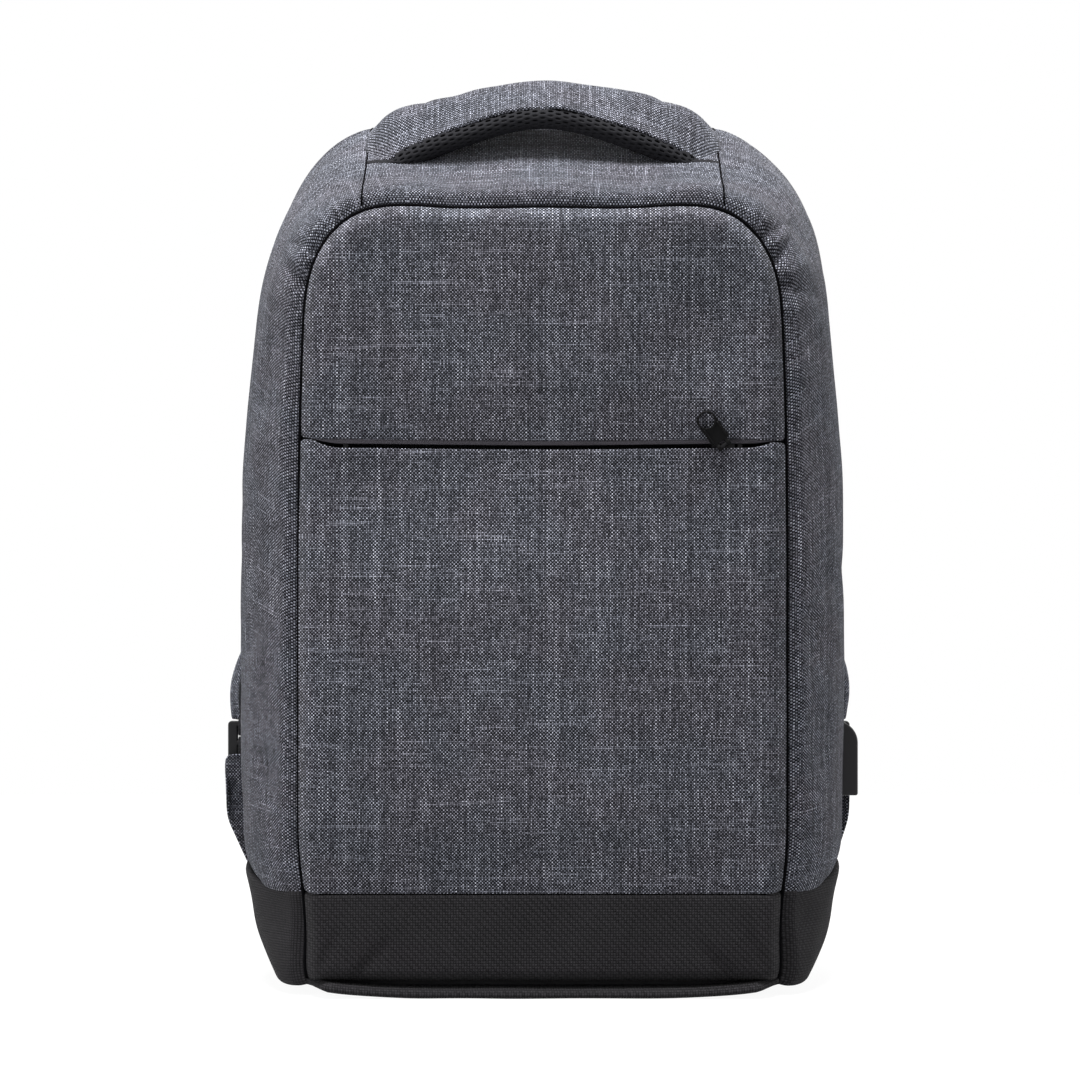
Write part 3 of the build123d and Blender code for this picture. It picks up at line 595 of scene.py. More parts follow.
def tube(name: str, points: Sequence[Sequence[float]], radius: float, material: Material,
         closed: bool = False) -> Object:
    """A round piping along points."""
    curve = bpy.data.curves.new(name, "CURVE")
    curve.dimensions = "3D"
    line = curve.splines.new("POLY")
    line.points.add(len(points) - 1)
    for slot, point in zip(line.points, points):
        slot.co = (*point, 1.0)
    line.use_cyclic_u = closed
    curve.bevel_depth = radius
    curve.bevel_resolution = 3
    curve.use_fill_caps = True
    maker = bpy.data.objects.new(name, curve)
    bpy.context.scene.collection.objects.link(maker)
    graph = bpy.context.evaluated_depsgraph_get()
    mesh = bpy.data.meshes.new_from_object(maker.evaluated_get(graph))
    bpy.data.objects.remove(maker)
    bm = welded(mesh)
    bmesh.ops.recalc_face_normals(bm, faces=bm.faces[:])
    lengths = bm.loops.layers.uv.verify()
    for face in bm.faces:
        for loop in face.loops:
            loop[lengths].uv = (loop.vert.co.x + loop.vert.co.y, loop.vert.co.z)
    return object_from(bm, name, material)


def bead(bm: bmesh.types.BMesh, middle: Vector, halves: Sequence[float], turn: Matrix) -> None:
    """Add a small round bead, stretched to its three half sizes and then turned."""
    made = bmesh.ops.create_icosphere(bm, subdivisions=1, radius=1.0)
    for vert in made["verts"]:
        vert.co = middle + turn @ Vector([share * half for share, half in zip(vert.co, halves)])


def stitches(name: str, points: np.ndarray, material: Material, length: float, gap: float,
             radius: float) -> Object:
    """A row of short threads along points, each half sunk."""
    path = Path(points)
    count = max(int(path.length / (length + gap)), 1)
    bm = bmesh.new()
    for index in range(count):
        middle = Vector(path.at((index + 0.5) / count))
        ahead = Vector(path.at(min((index + 0.5) / count + 0.002, 1.0)))
        along = (ahead - middle).normalized() if (ahead - middle).length > 1e-9 else Vector((1, 0, 0))
        bead(bm, middle, (length / 2, radius, radius), along.to_track_quat("X", "Z").to_matrix())
    return object_from(bm, name, material)


@dataclass(frozen=True)
class Filling:
    """Cloth simulation of a padded piece, blown up a little and then set."""

    pressure: float
    frames: int
    cap: float
    growth: float
    bending: float = 2.0

    def blow(self, piece: Object, held: Callable[[Vector], bool]) -> None:
        """Simulate one piece and keep the result.

        Args:
            piece: The padded piece, a mesh without modifiers.
            held: Tells which points its seams hold in place.
        """
        rest = np.array([vert.co[:] for vert in piece.data.vertices])
        group = piece.vertex_groups.new(name="held")
        group.add([vert.index for vert in piece.data.vertices if held(vert.co)], 1.0, "REPLACE")
        swell = piece.modifiers.new("filling", "CLOTH")
        for setting, value in (("quality", 5), ("mass", 0.3), ("use_pressure", True),
                               ("uniform_pressure_force", self.pressure), ("vertex_group_mass", group.name),
                               ("shrink_min", -self.growth), ("bending_stiffness", self.bending)):
            setattr(swell.settings, setting, value)
        swell.settings.effector_weights.gravity = 0.0
        scene = bpy.context.scene
        swell.point_cache.frame_start, swell.point_cache.frame_end = 1, self.frames
        for step in range(1, self.frames + 1):
            scene.frame_set(step)
        graph = bpy.context.evaluated_depsgraph_get()
        moved = np.array([vert.co[:] for vert in piece.evaluated_get(graph).data.vertices])
        drift = moved - rest
        far = np.linalg.norm(drift, axis=1, keepdims=True)
        kept = rest + drift * (self.cap * np.tanh(far / self.cap) / np.maximum(far, 1e-9))
        piece.modifiers.remove(swell)
        piece.vertex_groups.clear()
        scene.frame_set(1)
        for vert, place in zip(piece.data.vertices, kept):
            vert.co = place
        log.info("%s blown up by at most %.1f mm", piece.name, 1000 * float(far.max()))


def disc(outline: Path, corners: Sequence[float], middle: Sequence[float]) -> Place:
    """Lay a square of cloth inside a closed outline.

    Args:
        outline: Closed path of (x, z) points, counter-clockwise from the lower left corner.
        corners: Shares of its length where the square's four corners fall, the first is 0.
        middle: Point in its middle.

    Returns:
        Function from (u, v) to a point whose y is the share from the middle to the outline.
    """
    stops = [*corners, 1.0]
    centre = np.asarray(middle)

    def place(u: float, v: float) -> Vector:
        a, b = 2 * u - 1, 2 * v - 1
        ring = max(abs(a), abs(b))
        if ring < 1e-9:
            return Vector((centre[0], 0.0, centre[1]))
        a, b = a / ring, b / ring
        full = 1 - 1e-9
        if b <= -full and a < full:
            side, share = 0, (a + 1) / 2
        elif a >= full and b < full:
            side, share = 1, (b + 1) / 2
        elif b >= full and a > -full:
            side, share = 2, (1 - a) / 2
        else:
            side, share = 3, (1 - b) / 2
        border = outline.at(mix(stops[side], stops[side + 1], share))
        reach = 1 - (1 - ring) ** EDGE_CROWDING
        spot = centre + (border - centre) * reach
        return Vector((spot[0], reach, spot[1]))

    return place


def unrolled(skin: Callable[..., Vector], start: float, end: float) -> Callable[[float], float]:
    """Distance round the middle section of a padded tube, for each share of the way from start to end."""
    shares = np.linspace(0, 1, 61)
    lengths = arc(np.array([tuple(skin(0.5, mix(start, end, share))) for share in shares]))
    return lambda share: float(np.interp(share, shares, lengths))


def rounded(points: Sequence[Sequence[float]], rounds: int = 3) -> np.ndarray:
    """Round the corners of an open row of points by cutting them again and again."""
    row = np.asarray(points, dtype=float)
    for _ in range(rounds):
        cut = np.empty((2 * (len(row) - 1), row.shape[1]))
        cut[0::2] = 0.75 * row[:-1] + 0.25 * row[1:]
        cut[1::2] = 0.25 * row[:-1] + 0.75 * row[1:]
        row = np.vstack((row[:1], cut, row[-1:]))
    return row


def assign(piece: Object, body: str, slot: str, *nodes: str, fill: float | None = None) -> None:
    """Attach a piece to the body that it moves with and hide the CAD nodes that it stands for.

    Args:
        piece: The piece.
        body: Body that it moves with.
        slot: Material slot of the record; not used.
        nodes: CAD nodes that it stands for.
        fill: How full it is, if it is padded; not used.
    """
    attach(piece, body)
    if nodes:
        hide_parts(*nodes)


def softened(node: str, name: str, material: Material, body: str, slot: str,
             edge: float = 0.3 * MM) -> Object:
    """A copy of a rigid CAD node with its sharp edges rounded.

    Args:
        node: CAD node that it stands for.
        name: Name of the piece.
        material: Its finish.
        body: Body that it moves with.
        slot: Material slot of the record.
        edge: Radius of the rounding.

    Returns:
        The piece.
    """
    bm = welded(frame["nodes"][node].data)
    bmesh.ops.dissolve_limit(bm, angle_limit=math.radians(2), verts=bm.verts[:], edges=bm.edges[:])
    sharp = [e for e in bm.edges if e.is_manifold and e.calc_face_angle(0.0) > math.radians(35)]
    bmesh.ops.bevel(bm, geom=sharp, offset=edge, offset_type="OFFSET", segments=2, profile=0.5,
                    affect="EDGES", material=-1, clamp_overlap=True)
    piece = object_from(bm, name, material)
    keep = piece.modifiers.new("flat_faces", "WEIGHTED_NORMAL")
    keep.keep_sharp = False
    assign(piece, body, slot, node)
    return piece


def ribbon(name: str, path: np.ndarray, middle: float, width: float, thickness: float,
           material: Material, closed: bool = False) -> Object:
    """Webbing of a width along X that follows a row of (y, z) points.

    Args:
        name: Name of the piece.
        path: Points of its middle layer.
        middle: Its middle along X.
        width: Its width.
        thickness: Its thickness.
        material: Its finish.
        closed: Whether its ends meet.

    Returns:
        The piece, still without a body.
    """
    line = Path(path)
    cells = max(int(line.length / (1.6 * MM)), 8)

    def place(u: float, v: float) -> Vector:
        y, z = line.at(v)
        return Vector((middle + (u - 0.5) * width, y, z))

    piece = sheet(name, 10, cells, place, lambda u, v: (u * width, v * line.length), material)
    if closed:
        weld(piece)
    wall = piece.modifiers.new("wall", "SOLIDIFY")
    wall.thickness = thickness
    wall.offset = 0.0
    wall.use_even_offset = True
    edge = piece.modifiers.new("edge", "BEVEL")
    edge.width = 0.3 * thickness
    edge.segments = 2
    edge.limit_method = "ANGLE"
    return piece


def weld(piece: Object) -> None:
    """Join the points of a piece that lie on each other."""
    bm = welded(piece.data)
    bm.to_mesh(piece.data)
    bm.free()


def seal(piece: Object) -> None:
    """Weld the seam of a tube of cloth, close its ends and turn its faces out."""
    bm = welded(piece.data)
    bmesh.ops.holes_fill(bm, edges=[e for e in bm.edges if e.is_boundary], sides=0)
    bmesh.ops.recalc_face_normals(bm, faces=bm.faces[:])
    bm.to_mesh(piece.data)
    bm.free()


@dataclass
class Cushion:
    """A crowned pad on an upright plane, sewn down all round."""

    name: str
    outline: np.ndarray
    corners: Sequence[int]
    base: float
    height: float
    roll: float
    cells: tuple[int, int]
    channels: Sequence[float] = ()
    swell: float = 2.5 * MM
    fill: float = 0.7
    flat_above: float = 1.0

    def build(self, material: Material, inner: Material, facing: float = 1.0,
              wall: float = 1.6 * MM) -> Object:
        """Make the pad.

        Args:
            material: Finish of its outside.
            inner: Finish of its inside.
            facing: 1 if it faces the rear, -1 if it faces the front.
            wall: Thickness of its cloth.

        Returns:
            The pad, still without a body.
        """
        outline = Path(np.vstack((self.outline, self.outline[:1])))
        shares = [float(outline.lengths[index] / outline.length) for index in self.corners]
        middle = (self.outline.min(0) + self.outline.max(0)) / 2
        flat = disc(outline, shares, middle)

        def place(u: float, v: float) -> Vector:
            spot = flat(u, v)
            away = outline.distance((spot.x, spot.z))
            rise = math.sin(min(away / self.roll, 1.0) * math.pi / 2) ** 0.8
            rise -= sum(0.42 * bump(spot.z, line, 2.4 * MM) for line in self.channels)
            rise *= mix(1.0, 0.16, smooth(self.flat_above - 4 * MM, self.flat_above, spot.z))
            soft = 0.25 * MM * ripple(spot.x, 0.0, spot.z, 0.03)
            return Vector((spot.x, self.base + facing * (self.height * max(rise, 0.0) + soft * rise), spot.z))

        pad = sheet(self.name, *self.cells, place, lambda u, v: flat(u, v).xz, material, inner, flip=facing > 0)
        Filling(4.0, 12, self.swell, 0.008).blow(
            pad, lambda co: outline.distance((co.x, co.z)) < 1.5 * MM
            or any(abs(co.z - line) < 1.6 * MM for line in self.channels) or co.z > self.flat_above - 4 * MM)
        thicken(pad, wall, inner=1)
        return pad


def round_rectangle(x: tuple[float, float], z: tuple[float, float], radius: float,
                    steps: int = 10) -> tuple[np.ndarray, list[int]]:
    """Closed outline of a rectangle with round corners, and the point in the middle of each corner."""
    points, marks = [], []
    for cx, cz, start in ((x[0], z[0], 180), (x[1], z[0], 270), (x[1], z[1], 0), (x[0], z[1], 90)):
        centre = (cx + math.copysign(radius, (x[0] + x[1]) / 2 - cx),
                  cz + math.copysign(radius, (z[0] + z[1]) / 2 - cz))
        for step in range(steps + 1):
            turn = math.radians(start + 90 * step / steps)
            if step == steps // 2:
                marks.append(len(points))
            points.append((centre[0] + radius * math.cos(turn), centre[1] + radius * math.sin(turn)))
    shift = marks[0]
    return np.roll(np.array(points), -shift, axis=0), [mark - shift for mark in marks]


# ------------------------------------------------------------------ the bag's form
@dataclass(frozen=True)
class Station:
    """One outline of the bag, upright across its depth, in millimetres."""

    y: float
    half: float
    top: float
    square: float


@dataclass
class Section:
    """The right half of an outline at one depth, from the base up to the middle of the top."""

    x: np.ndarray
    z: np.ndarray
    length: np.ndarray

    def point(self, share: float) -> tuple[float, float]:
        """(x, z) at a share from 0 at the base to 2 at the base on the left."""
        side = 1.0 if share <= 1.0 else -1.0
        place = (share if share <= 1.0 else 2.0 - share) * self.length[-1]
        return side * float(np.interp(place, self.length, self.x)), float(np.interp(place, self.length, self.z))

    def share_at_height(self, z: float) -> float:
        """Share at which the right side reaches a height."""
        return float(np.interp(z, self.z, self.length) / self.length[-1])

    def share_at_side(self, x: float) -> float:
        """Share at which the arch has come in to a distance from the middle."""
        return self._over(x, self.length) / float(self.length[-1])

    def height_at(self, x: float) -> float:
        """Height of the arch above a point of the base line."""
        return self._over(abs(x), self.z)

    def _over(self, x: float, values: np.ndarray) -> float:
        """One of the outline's rows, read where its upper half is at a distance from the middle."""
        start = int(np.argmax(self.z > 0.5 * self.z[-1]))
        return float(np.interp(-x, -self.x[start:], values[start:]))


class BagForm:
    """The outer form of the bag: upright outlines at several depths, joined smoothly."""

    STATIONS = (
        Station(-74.0, 107.0, 369.0, 1.0), Station(-60.0, 118.0, 381.0, 0.9), Station(-42.0, 136.0, 393.5, 0.62),
        Station(-22.0, 145.5, 405.0, 0.36), Station(0.0, 149.2, 416.5, 0.18), Station(28.0, 150.0, 429.5, 0.06),
        Station(58.0, 150.0, 440.0, 0.0))
    REAR_LOW = ((0.85, 0.0), (0.935, 0.045))
    FRONT_LOW = ((0.965, 0.0), (0.975, 0.045))
    REAR_ARCH = ((0.957, 0.727), (0.86, 0.892), (0.692, 0.968), (0.36, 0.995))
    FRONT_ARCH = ((0.985, 0.85), (0.93, 0.945), (0.80, 0.990), (0.40, 1.0))
    BASE = 5.0
    BAND_TOP = 50.0
    STRAIGHT = (0.20, 0.54)

    def __init__(self) -> None:
        depths = [s.y for s in self.STATIONS]
        self.profile = Spline([(s.half, s.top, s.square) for s in self.STATIONS], knots=depths)
        self._sections: dict[tuple[int, int], Section] = {}
        self.front, self.seam, self.rear = -74.0 * MM, -60.0 * MM, 58.0 * MM

    def section(self, y: float, inset: float = 0.0) -> Section:
        """Outline at a depth, in metres, made smaller all round by an inset."""
        key = (round(y * 1e5), round(inset * 1e5))
        if key not in self._sections:
            self._sections[key] = self._outline(y, inset)
        return self._sections[key]

    def _outline(self, y: float, inset: float) -> Section:
        """Work out one outline."""
        half, top, square = self.profile.at(min(max(y, self.front), self.rear) * 1000)
        square = min(max(square, 0.0), 1.0)
        half, top = half - inset * 1000, top - inset * 1000
        rise = top - self.BASE

        def scaled(rear: Sequence, front: Sequence) -> list[tuple[float, float]]:
            return [(half * mix(r[0], f[0], square), self.BASE + rise * mix(r[1], f[1], square))
                    for r, f in zip(rear, front)]

        side_low = (half, self.BASE + self.STRAIGHT[0] * rise)
        side_high = (half, self.BASE + self.STRAIGHT[1] * rise)
        lower = Spline([*scaled(self.REAR_LOW, self.FRONT_LOW), side_low], (0.6, 1), (0, 1)).walk(24)
        upper = Spline([side_high, *scaled(self.REAR_ARCH, self.FRONT_ARCH), (0.0, top)], (0, 1), (-1, 0)).walk(160)
        points = np.vstack((lower, upper)) * MM
        return Section(points[:, 0], points[:, 1], arc(points))

    def point(self, share: float, y: float, inset: float = 0.0) -> Vector:
        """Point of the form at a share round the outline and a depth."""
        x, z = self.section(y, inset).point(share)
        return Vector((x, y, z))

    def outline(self, y: float, inset: float = 0.0, count: int = 240) -> np.ndarray:
        """The whole outline at a depth as (x, z) points, from the right base over the top."""
        section = self.section(y, inset)
        return np.array([section.point(share) for share in np.linspace(0.0, 2.0, count)])

    def roof(self, x: float, y: float) -> float:
        """Height of the bag's top over a point."""
        return self.section(y).height_at(x)

    def depths(self, y_from: float, y_to: float, count: int = 60) -> Path:
        """Path of (y, half width) from one depth to another, to pace cloth evenly."""
        return Path(np.array([(y, self.profile.at(y * 1000)[0] * MM) for y in np.linspace(y_from, y_to, count)]))


# ------------------------------------------------------------------ body of the bag
@dataclass
class Gussets:
    """Side gussets, top panel and black lower corners, sewn round the front panel with a padded lip."""

    form: BagForm
    finishes: Finishes
    lip: float = 5.6 * MM
    lip_width: float = 7.0 * MM
    lip_reach: float = 40.0 * MM
    wall: float = 3.4 * MM
    top_seam: float = 88.0 * MM
    band_slope: float = math.tan(math.radians(6.0))
    crowd: float = 1.25
    lap: float = 0.0026            # share of the outline by which neighbours overlap
    bunching: float = 0.5          # how closely the columns stand at the upper corners
    bunch_at: float = 0.86
    creases: dict[str, tuple] = field(default_factory=lambda: {
        "right": ((0.36, 5.0 * MM, 0.5, 0.05), (0.62, 9.5 * MM, -0.4, 0.075), (0.86, 6.5 * MM, 0.3, 0.05),
                  (0.49, -3.0 * MM, 0.1, 0.07), (0.75, -2.4 * MM, 0.0, 0.07)),
        "left": ((0.42, 6.5 * MM, -0.4, 0.06), (0.72, 5.5 * MM, 0.4, 0.05), (1.02, 4.0 * MM, 0.2, 0.05),
                 (0.57, -2.0 * MM, 0.0, 0.07))})

    def band(self, y: float) -> float:
        """Upper edge of the black corner at a depth."""
        return self.form.BAND_TOP * MM + (y - self.form.seam) * self.band_slope

    def build(self) -> None:
        """Make all five pieces."""
        form, black, melange, lap = self.form, self.finishes.black, self.finishes.melange, self.lap

        def lower(y: float) -> float:
            return form.section(y).share_at_height(self.band(y))

        def upper(y: float) -> float:
            return form.section(y).share_at_side(self.top_seam)

        for side, word in ((1, "right"), (-1, "left")):
            self._patch(f"side_gusset_cloth_{word}", side, lambda y: lower(y) - lap, lambda y: upper(y) + lap, 156,
                        melange, f"side_gusset_{word}", "melange_fabric")
            self._patch(f"lower_corner_cloth_{word}", side, lambda y: 0.0, lambda y: lower(y) + lap, 26, black,
                        f"gusset_base_{word}", "black_fabric")
        self._patch("top_panel_cloth", 1, lambda y: upper(y) - lap, lambda y: 2.0 - upper(y) + lap, 72, melange,
                    "top_panel", "melange_fabric")

    def _patch(self, name: str, side: int, low: Callable[[float], float], high: Callable[[float], float],
               columns: int, material: Material, node: str, slot: str) -> None:
        """Lay one piece of cloth between two seams, from the front seam to the rear edge.

        Args:
            name: Name of the piece.
            side: 1 on the right, -1 on the left.
            low: Share of the outline at its first side seam, for each depth.
            high: Share of the outline at its other side seam, for each depth.
            columns: Cells from one side seam to the other.
            material: Its finish.
            node: CAD node that it stands for.
            slot: Material slot of the record.
        """
        form = self.form
        pace = form.depths(form.seam, form.rear)
        span = form.section(0.0).length[-1]
        bunch, middle = self.bunching if columns > 100 else 0.0, self.bunch_at

        def along(u: float) -> float:
            return u - bunch * (math.sin(math.tau * (u - middle)) + math.sin(math.tau * middle)) / math.tau

        def place(u: float, v: float) -> Vector:
            y = float(pace.at(v ** self.crowd)[0])
            point = form.point(mix(low(y), high(y), along(u)), y)
            full = 4.2 * MM * bump(point.z, 0.398, 0.038) * smooth(-0.045, 0.0, y) * smooth(0.057, 0.035, y)
            drawn = 2.2 * MM * bump(point.z, 0.043, 0.014) * smooth(0.056, 0.02, y) * smooth(0.10, 0.13, point.x)
            x = point.x + (full * smooth(0.05, 0.11, point.x) if side > 0 else 0.0) - drawn
            return Vector((side * x, y, point.z))

        def lay(u: float, v: float) -> tuple[float, float]:
            y = float(pace.at(v ** self.crowd)[0])
            return (v ** self.crowd * pace.length + side * 0.31, mix(low(y), high(y), along(u)) * span)

        def relief(u: float, v: float, at: Vector) -> float:
            away = v ** self.crowd * pace.length
            length = mix(low(0.0), high(0.0), along(u)) * span
            return self._relief(length, away, pace.length - away, along(u), 1 - along(u), name, at)

        piece = sheet(name, columns, 46, place, lay, material, self.finishes.lining, relief=relief, flip=side > 0)
        seams = (form.seam + 1.5 * MM, form.rear - 1.5 * MM)
        Filling(2.0, 10, 1.6 * MM, 0.004).blow(piece, lambda co: co.y < seams[0] or co.y > seams[1])
        thicken(piece, self.wall, inner=1)
        assign(piece, "bag_body", slot, node, fill=0.7)
        log.info("%s laid", name)

    def _relief(self, length: float, away: float, left: float, low: float, high: float, name: str,
                at: Vector) -> float:
        """Lift of the cloth above the form.

        Args:
            length: Distance round the outline.
            away: Distance from the front seam.
            left: Distance from the rear edge.
            low: Share of the piece from its first side seam.
            high: Share of the piece from its other side seam.
            name: Name of the piece, which shifts its creases.
            at: The point itself.

        Returns:
            Distance along the normal.
        """
        shift = 0.3 if name.endswith("left") else 0.0
        vary = 1.0 + 0.22 * ripple(length, shift, 0.0, 0.045)
        lip = self.lip * vary * math.sin(min(away / self.lip_width, 1.0) * math.pi / 2)
        lip *= 1.0 - smooth(self.lip_width, self.lip_reach, away)
        turn = math.atan2(at.z - 0.325, abs(at.x) - 0.070)
        bend = smooth(-0.15, 0.25, turn) * smooth(1.5, 1.2, turn) * (1.0 if abs(at.x) > 0.07 else 0.0)
        pucker = 0.8 * MM * bend * math.sin(length / (2.6 * MM) + 4 * ripple(length, shift, 1.0, 0.03))
        creases = self.creases["left" if shift else "right"]
        pucker -= sum(depth * math.exp(-abs(turn + 9 * away * tilt - spot) / width)
                      for spot, depth, tilt, width in creases)
        pucker *= math.exp(-away / (15 * MM)) * smooth(0.0, 1.2 * MM, away)
        soft = 0.9 * MM * ripple(at.x, at.y + shift, at.z, 0.06) + 0.35 * MM * ripple(at.x, at.y + shift, at.z, 0.022)
        soft *= smooth(0.0, 12 * MM, away) * smooth(0.0, 10 * MM, left)
        seam = -1.1 * MM * (math.exp(-low / 0.012) + math.exp(-high / 0.012))
        hem = -0.5 * MM * bump(left, 6.5 * MM, 1.4 * MM) + 0.5 * MM * bump(left, 3.0 * MM, 2.6 * MM)
        return lip + pucker + soft + seam + hem


class Panel(Enum):
    """The three panels of the front."""

    UPPER = 1
    POCKET = 2
    BAND = 3


@dataclass
class FrontPanels:
    """The front panel above the pocket zip, the pocket panel and the black band below them."""

    form: BagForm
    finishes: Finishes
    zip_z: float = 265.5 * MM
    slit: tuple[float, float] = (-1.0 * MM, 2.9 * MM)
    wall: float = 3.2 * MM
    depth: float = 13.6 * MM
    roll: float = 7.0 * MM
    foot: float = 6.2 * MM

    def sag(self, x: float) -> float:
        """Dip of the slit along its length: the slider's run stays nearly straight."""
        inside = -1.0 * MM * bump(x, 0.0, 0.07)
        ends = 3.8 * MM * smooth(-0.097, -0.122, x) + 2.0 * MM * smooth(0.098, 0.122, x)
        return inside + ends

    def build(self) -> None:
        """Make the three panels."""
        seam = self.form.outline(self.form.seam)
        lower_z, upper_z = (self.zip_z + step for step in self.slit)
        self._panel("front_panel_upper_cloth", seam, upper_z, 1.0, (70, 44), self.finishes.melange,
                    "front_panel_upper", "melange_fabric", Panel.UPPER)
        self._panel("pocket_panel_cloth", seam, self.form.BAND_TOP * MM, lower_z, (72, 74), self.finishes.melange,
                    "front_pocket_panel", "melange_fabric", Panel.POCKET)
        self._panel("front_band_cloth", seam, self.foot, self.form.BAND_TOP * MM, (72, 20), self.finishes.black,
                    "front_base_band", "black_fabric", Panel.BAND)
        # A thin near-black tube laid in the front seam: painted shadow of the seam's groove.
        seam_shade = [Vector((x, self.form.seam + 0.3 * MM, z)) for x, z in seam if z > 5 * MM]
        inside = self.form.outline(self.form.seam, 3.2 * MM)
        binding = [Vector((x, self.form.seam + 3.4 * MM, z)) for x, z in inside if z > 8 * MM]
        for name, line, radius, material in (("front_seam_painted_shadow", seam_shade, 0.95 * MM, self.finishes.seam_shade),
                                             ("front_seam_binding", binding, 2.5 * MM, self.finishes.lining)):
            assign(tube(name, line, radius, material), "bag_body", "black_fabric")

    def _edge(self, x: float, z: float) -> float:
        """Height of a level edge at a point, with the slit's sag; the slit closes beyond the zip's ends."""
        if abs(z - self.zip_z) > 3 * MM:
            return z
        closing = smooth(0.102, 0.109, abs(x))
        return mix(z, self.zip_z + 0.4 * MM + math.copysign(0.35 * MM, z - self.zip_z), closing) + self.sag(x)

    def _panel(self, name: str, seam: np.ndarray, low: float, high: float, cells: tuple[int, int],
               material: Material, node: str, slot: str, kind: Panel) -> None:
        """Lay one panel between two level edges inside the front seam.

        Args:
            name: Name of the piece.
            seam: The front seam as (x, z) points.
            low: Height of its lower edge.
            high: Height of its upper edge, 1 if the seam's arch bounds it.
            cells: Cells across and up.
            material: Its finish.
            node: CAD node that it stands for.
            slot: Material slot of the record.
            kind: Which of the three panels it is.
        """
        form = self.form
        section = form.section(form.seam)

        def half(z: float) -> float:
            return section.point(section.share_at_height(z))[0]

        right = [p for p in seam if p[0] > 0 and low < p[1] < high]
        left = [p for p in seam if p[0] <= 0 and low < p[1] < high]
        bottom = [(x, self._edge(x, low)) for x in np.linspace(-half(low), half(low), 60)]
        if high < 1.0:
            top = [(x, self._edge(x, high)) for x in np.linspace(half(high), -half(high), 60)]
            ends = (top[0], top[-1])
        else:
            top = []
            corner = min(right, key=lambda p: abs((section.z[-1] - p[1]) - (half(low) - p[0])))
            ends = (corner, (-corner[0], corner[1]))
        outline = Path(np.array([*bottom, *right, *top, *left, bottom[0]]))

        def share(point: Sequence[float]) -> float:
            index = int(np.argmin(((outline.points[:-1] - np.array(point)) ** 2).sum(1)))
            return float(outline.lengths[index] / outline.length)

        corners = (0.0, share(bottom[-1]), share(ends[0]), share(ends[1]))
        middle = (0.0, (low + min(high, section.z[-1])) / 2)
        flat = disc(outline, corners, middle)
        border = Path(seam)

        def place(u: float, v: float) -> Vector:
            spot = flat(u, v)
            away = border.distance((spot.x, spot.z))
            if kind is Panel.BAND:
                away = min(away, max(spot.z - self.foot, 0.0) * 1.2)
            lift = math.sin(min(away / self.roll, 1.0) * math.pi / 2) ** 0.9
            tuck = smooth(3 * MM, 0.0, away)
            y = form.seam - self.depth * lift - self._soft(spot.x, spot.z, kind) + 3 * MM * tuck
            return Vector((spot.x * (1 + 0.004 * tuck), y, spot.z))

        def lay(u: float, v: float) -> tuple[float, float]:
            spot = flat(u, v)
            return spot.x, spot.z + 0.4 * kind.value

        piece = sheet(name, *cells, place, lay, material, self.finishes.lining)
        thicken(piece, self.wall, inner=1)
        assign(piece, "bag_body", slot, node, fill=0.6)
        log.info("%s laid", name)

    def _soft(self, x: float, z: float, kind: Panel) -> float:
        """Forward lift of a panel: its crown, dimples and slack."""
        clear = smooth(4 * MM, 40 * MM, z - self.zip_z)
        lift = 0.5 * MM * ripple(x, 0.0, z, 0.05) + 0.25 * MM * ripple(x, 5.0, z, 0.02)
        if kind is Panel.UPPER:
            lift = lift * (0.3 + 0.7 * clear) + 2.2 * MM * clear * (1 - (x / 0.118) ** 2)
            lift -= 5.2 * MM * bump(x, 0.082, 0.020) * bump(z, 0.322, 0.034) * smooth(0.279, 0.310, z)
            lift += 1.2 * MM * bump(x, 0.040, 0.018) * bump(z, 0.330, 0.034) * smooth(0.279, 0.310, z)
            lift -= 0.9 * MM * bump(z, self.zip_z, 9 * MM)
        elif kind is Panel.POCKET:
            lift += 5.4 * MM * (1 - ((x + 0.045) / 0.165) ** 2) * smooth(0.262, 0.18, z) * smooth(0.05, 0.09, z)
            lift += 0.4 * MM * bump(z, self.zip_z - 4 * MM, 4 * MM)
            lift -= 0.9 * MM * bump(z, self.form.BAND_TOP * MM, 2.2 * MM)
        else:
            lift += 0.5 * MM * bump(z, 30 * MM, 16 * MM) - 0.7 * MM * bump(z, self.form.BAND_TOP * MM, 1.6 * MM)
            for side in (-1, 1):
                folds = x * side - 0.088 + (z - 0.012) * 0.9, x * side - 0.104 + (z - 0.020) * 0.5
                lift -= 2.4 * MM * bump(folds[0], 0.0, 3 * MM) * bump(z, 0.012, 0.014)
                lift -= 1.2 * MM * bump(folds[1], 0.0, 2.4 * MM) * bump(z, 0.022, 0.012)
        return lift


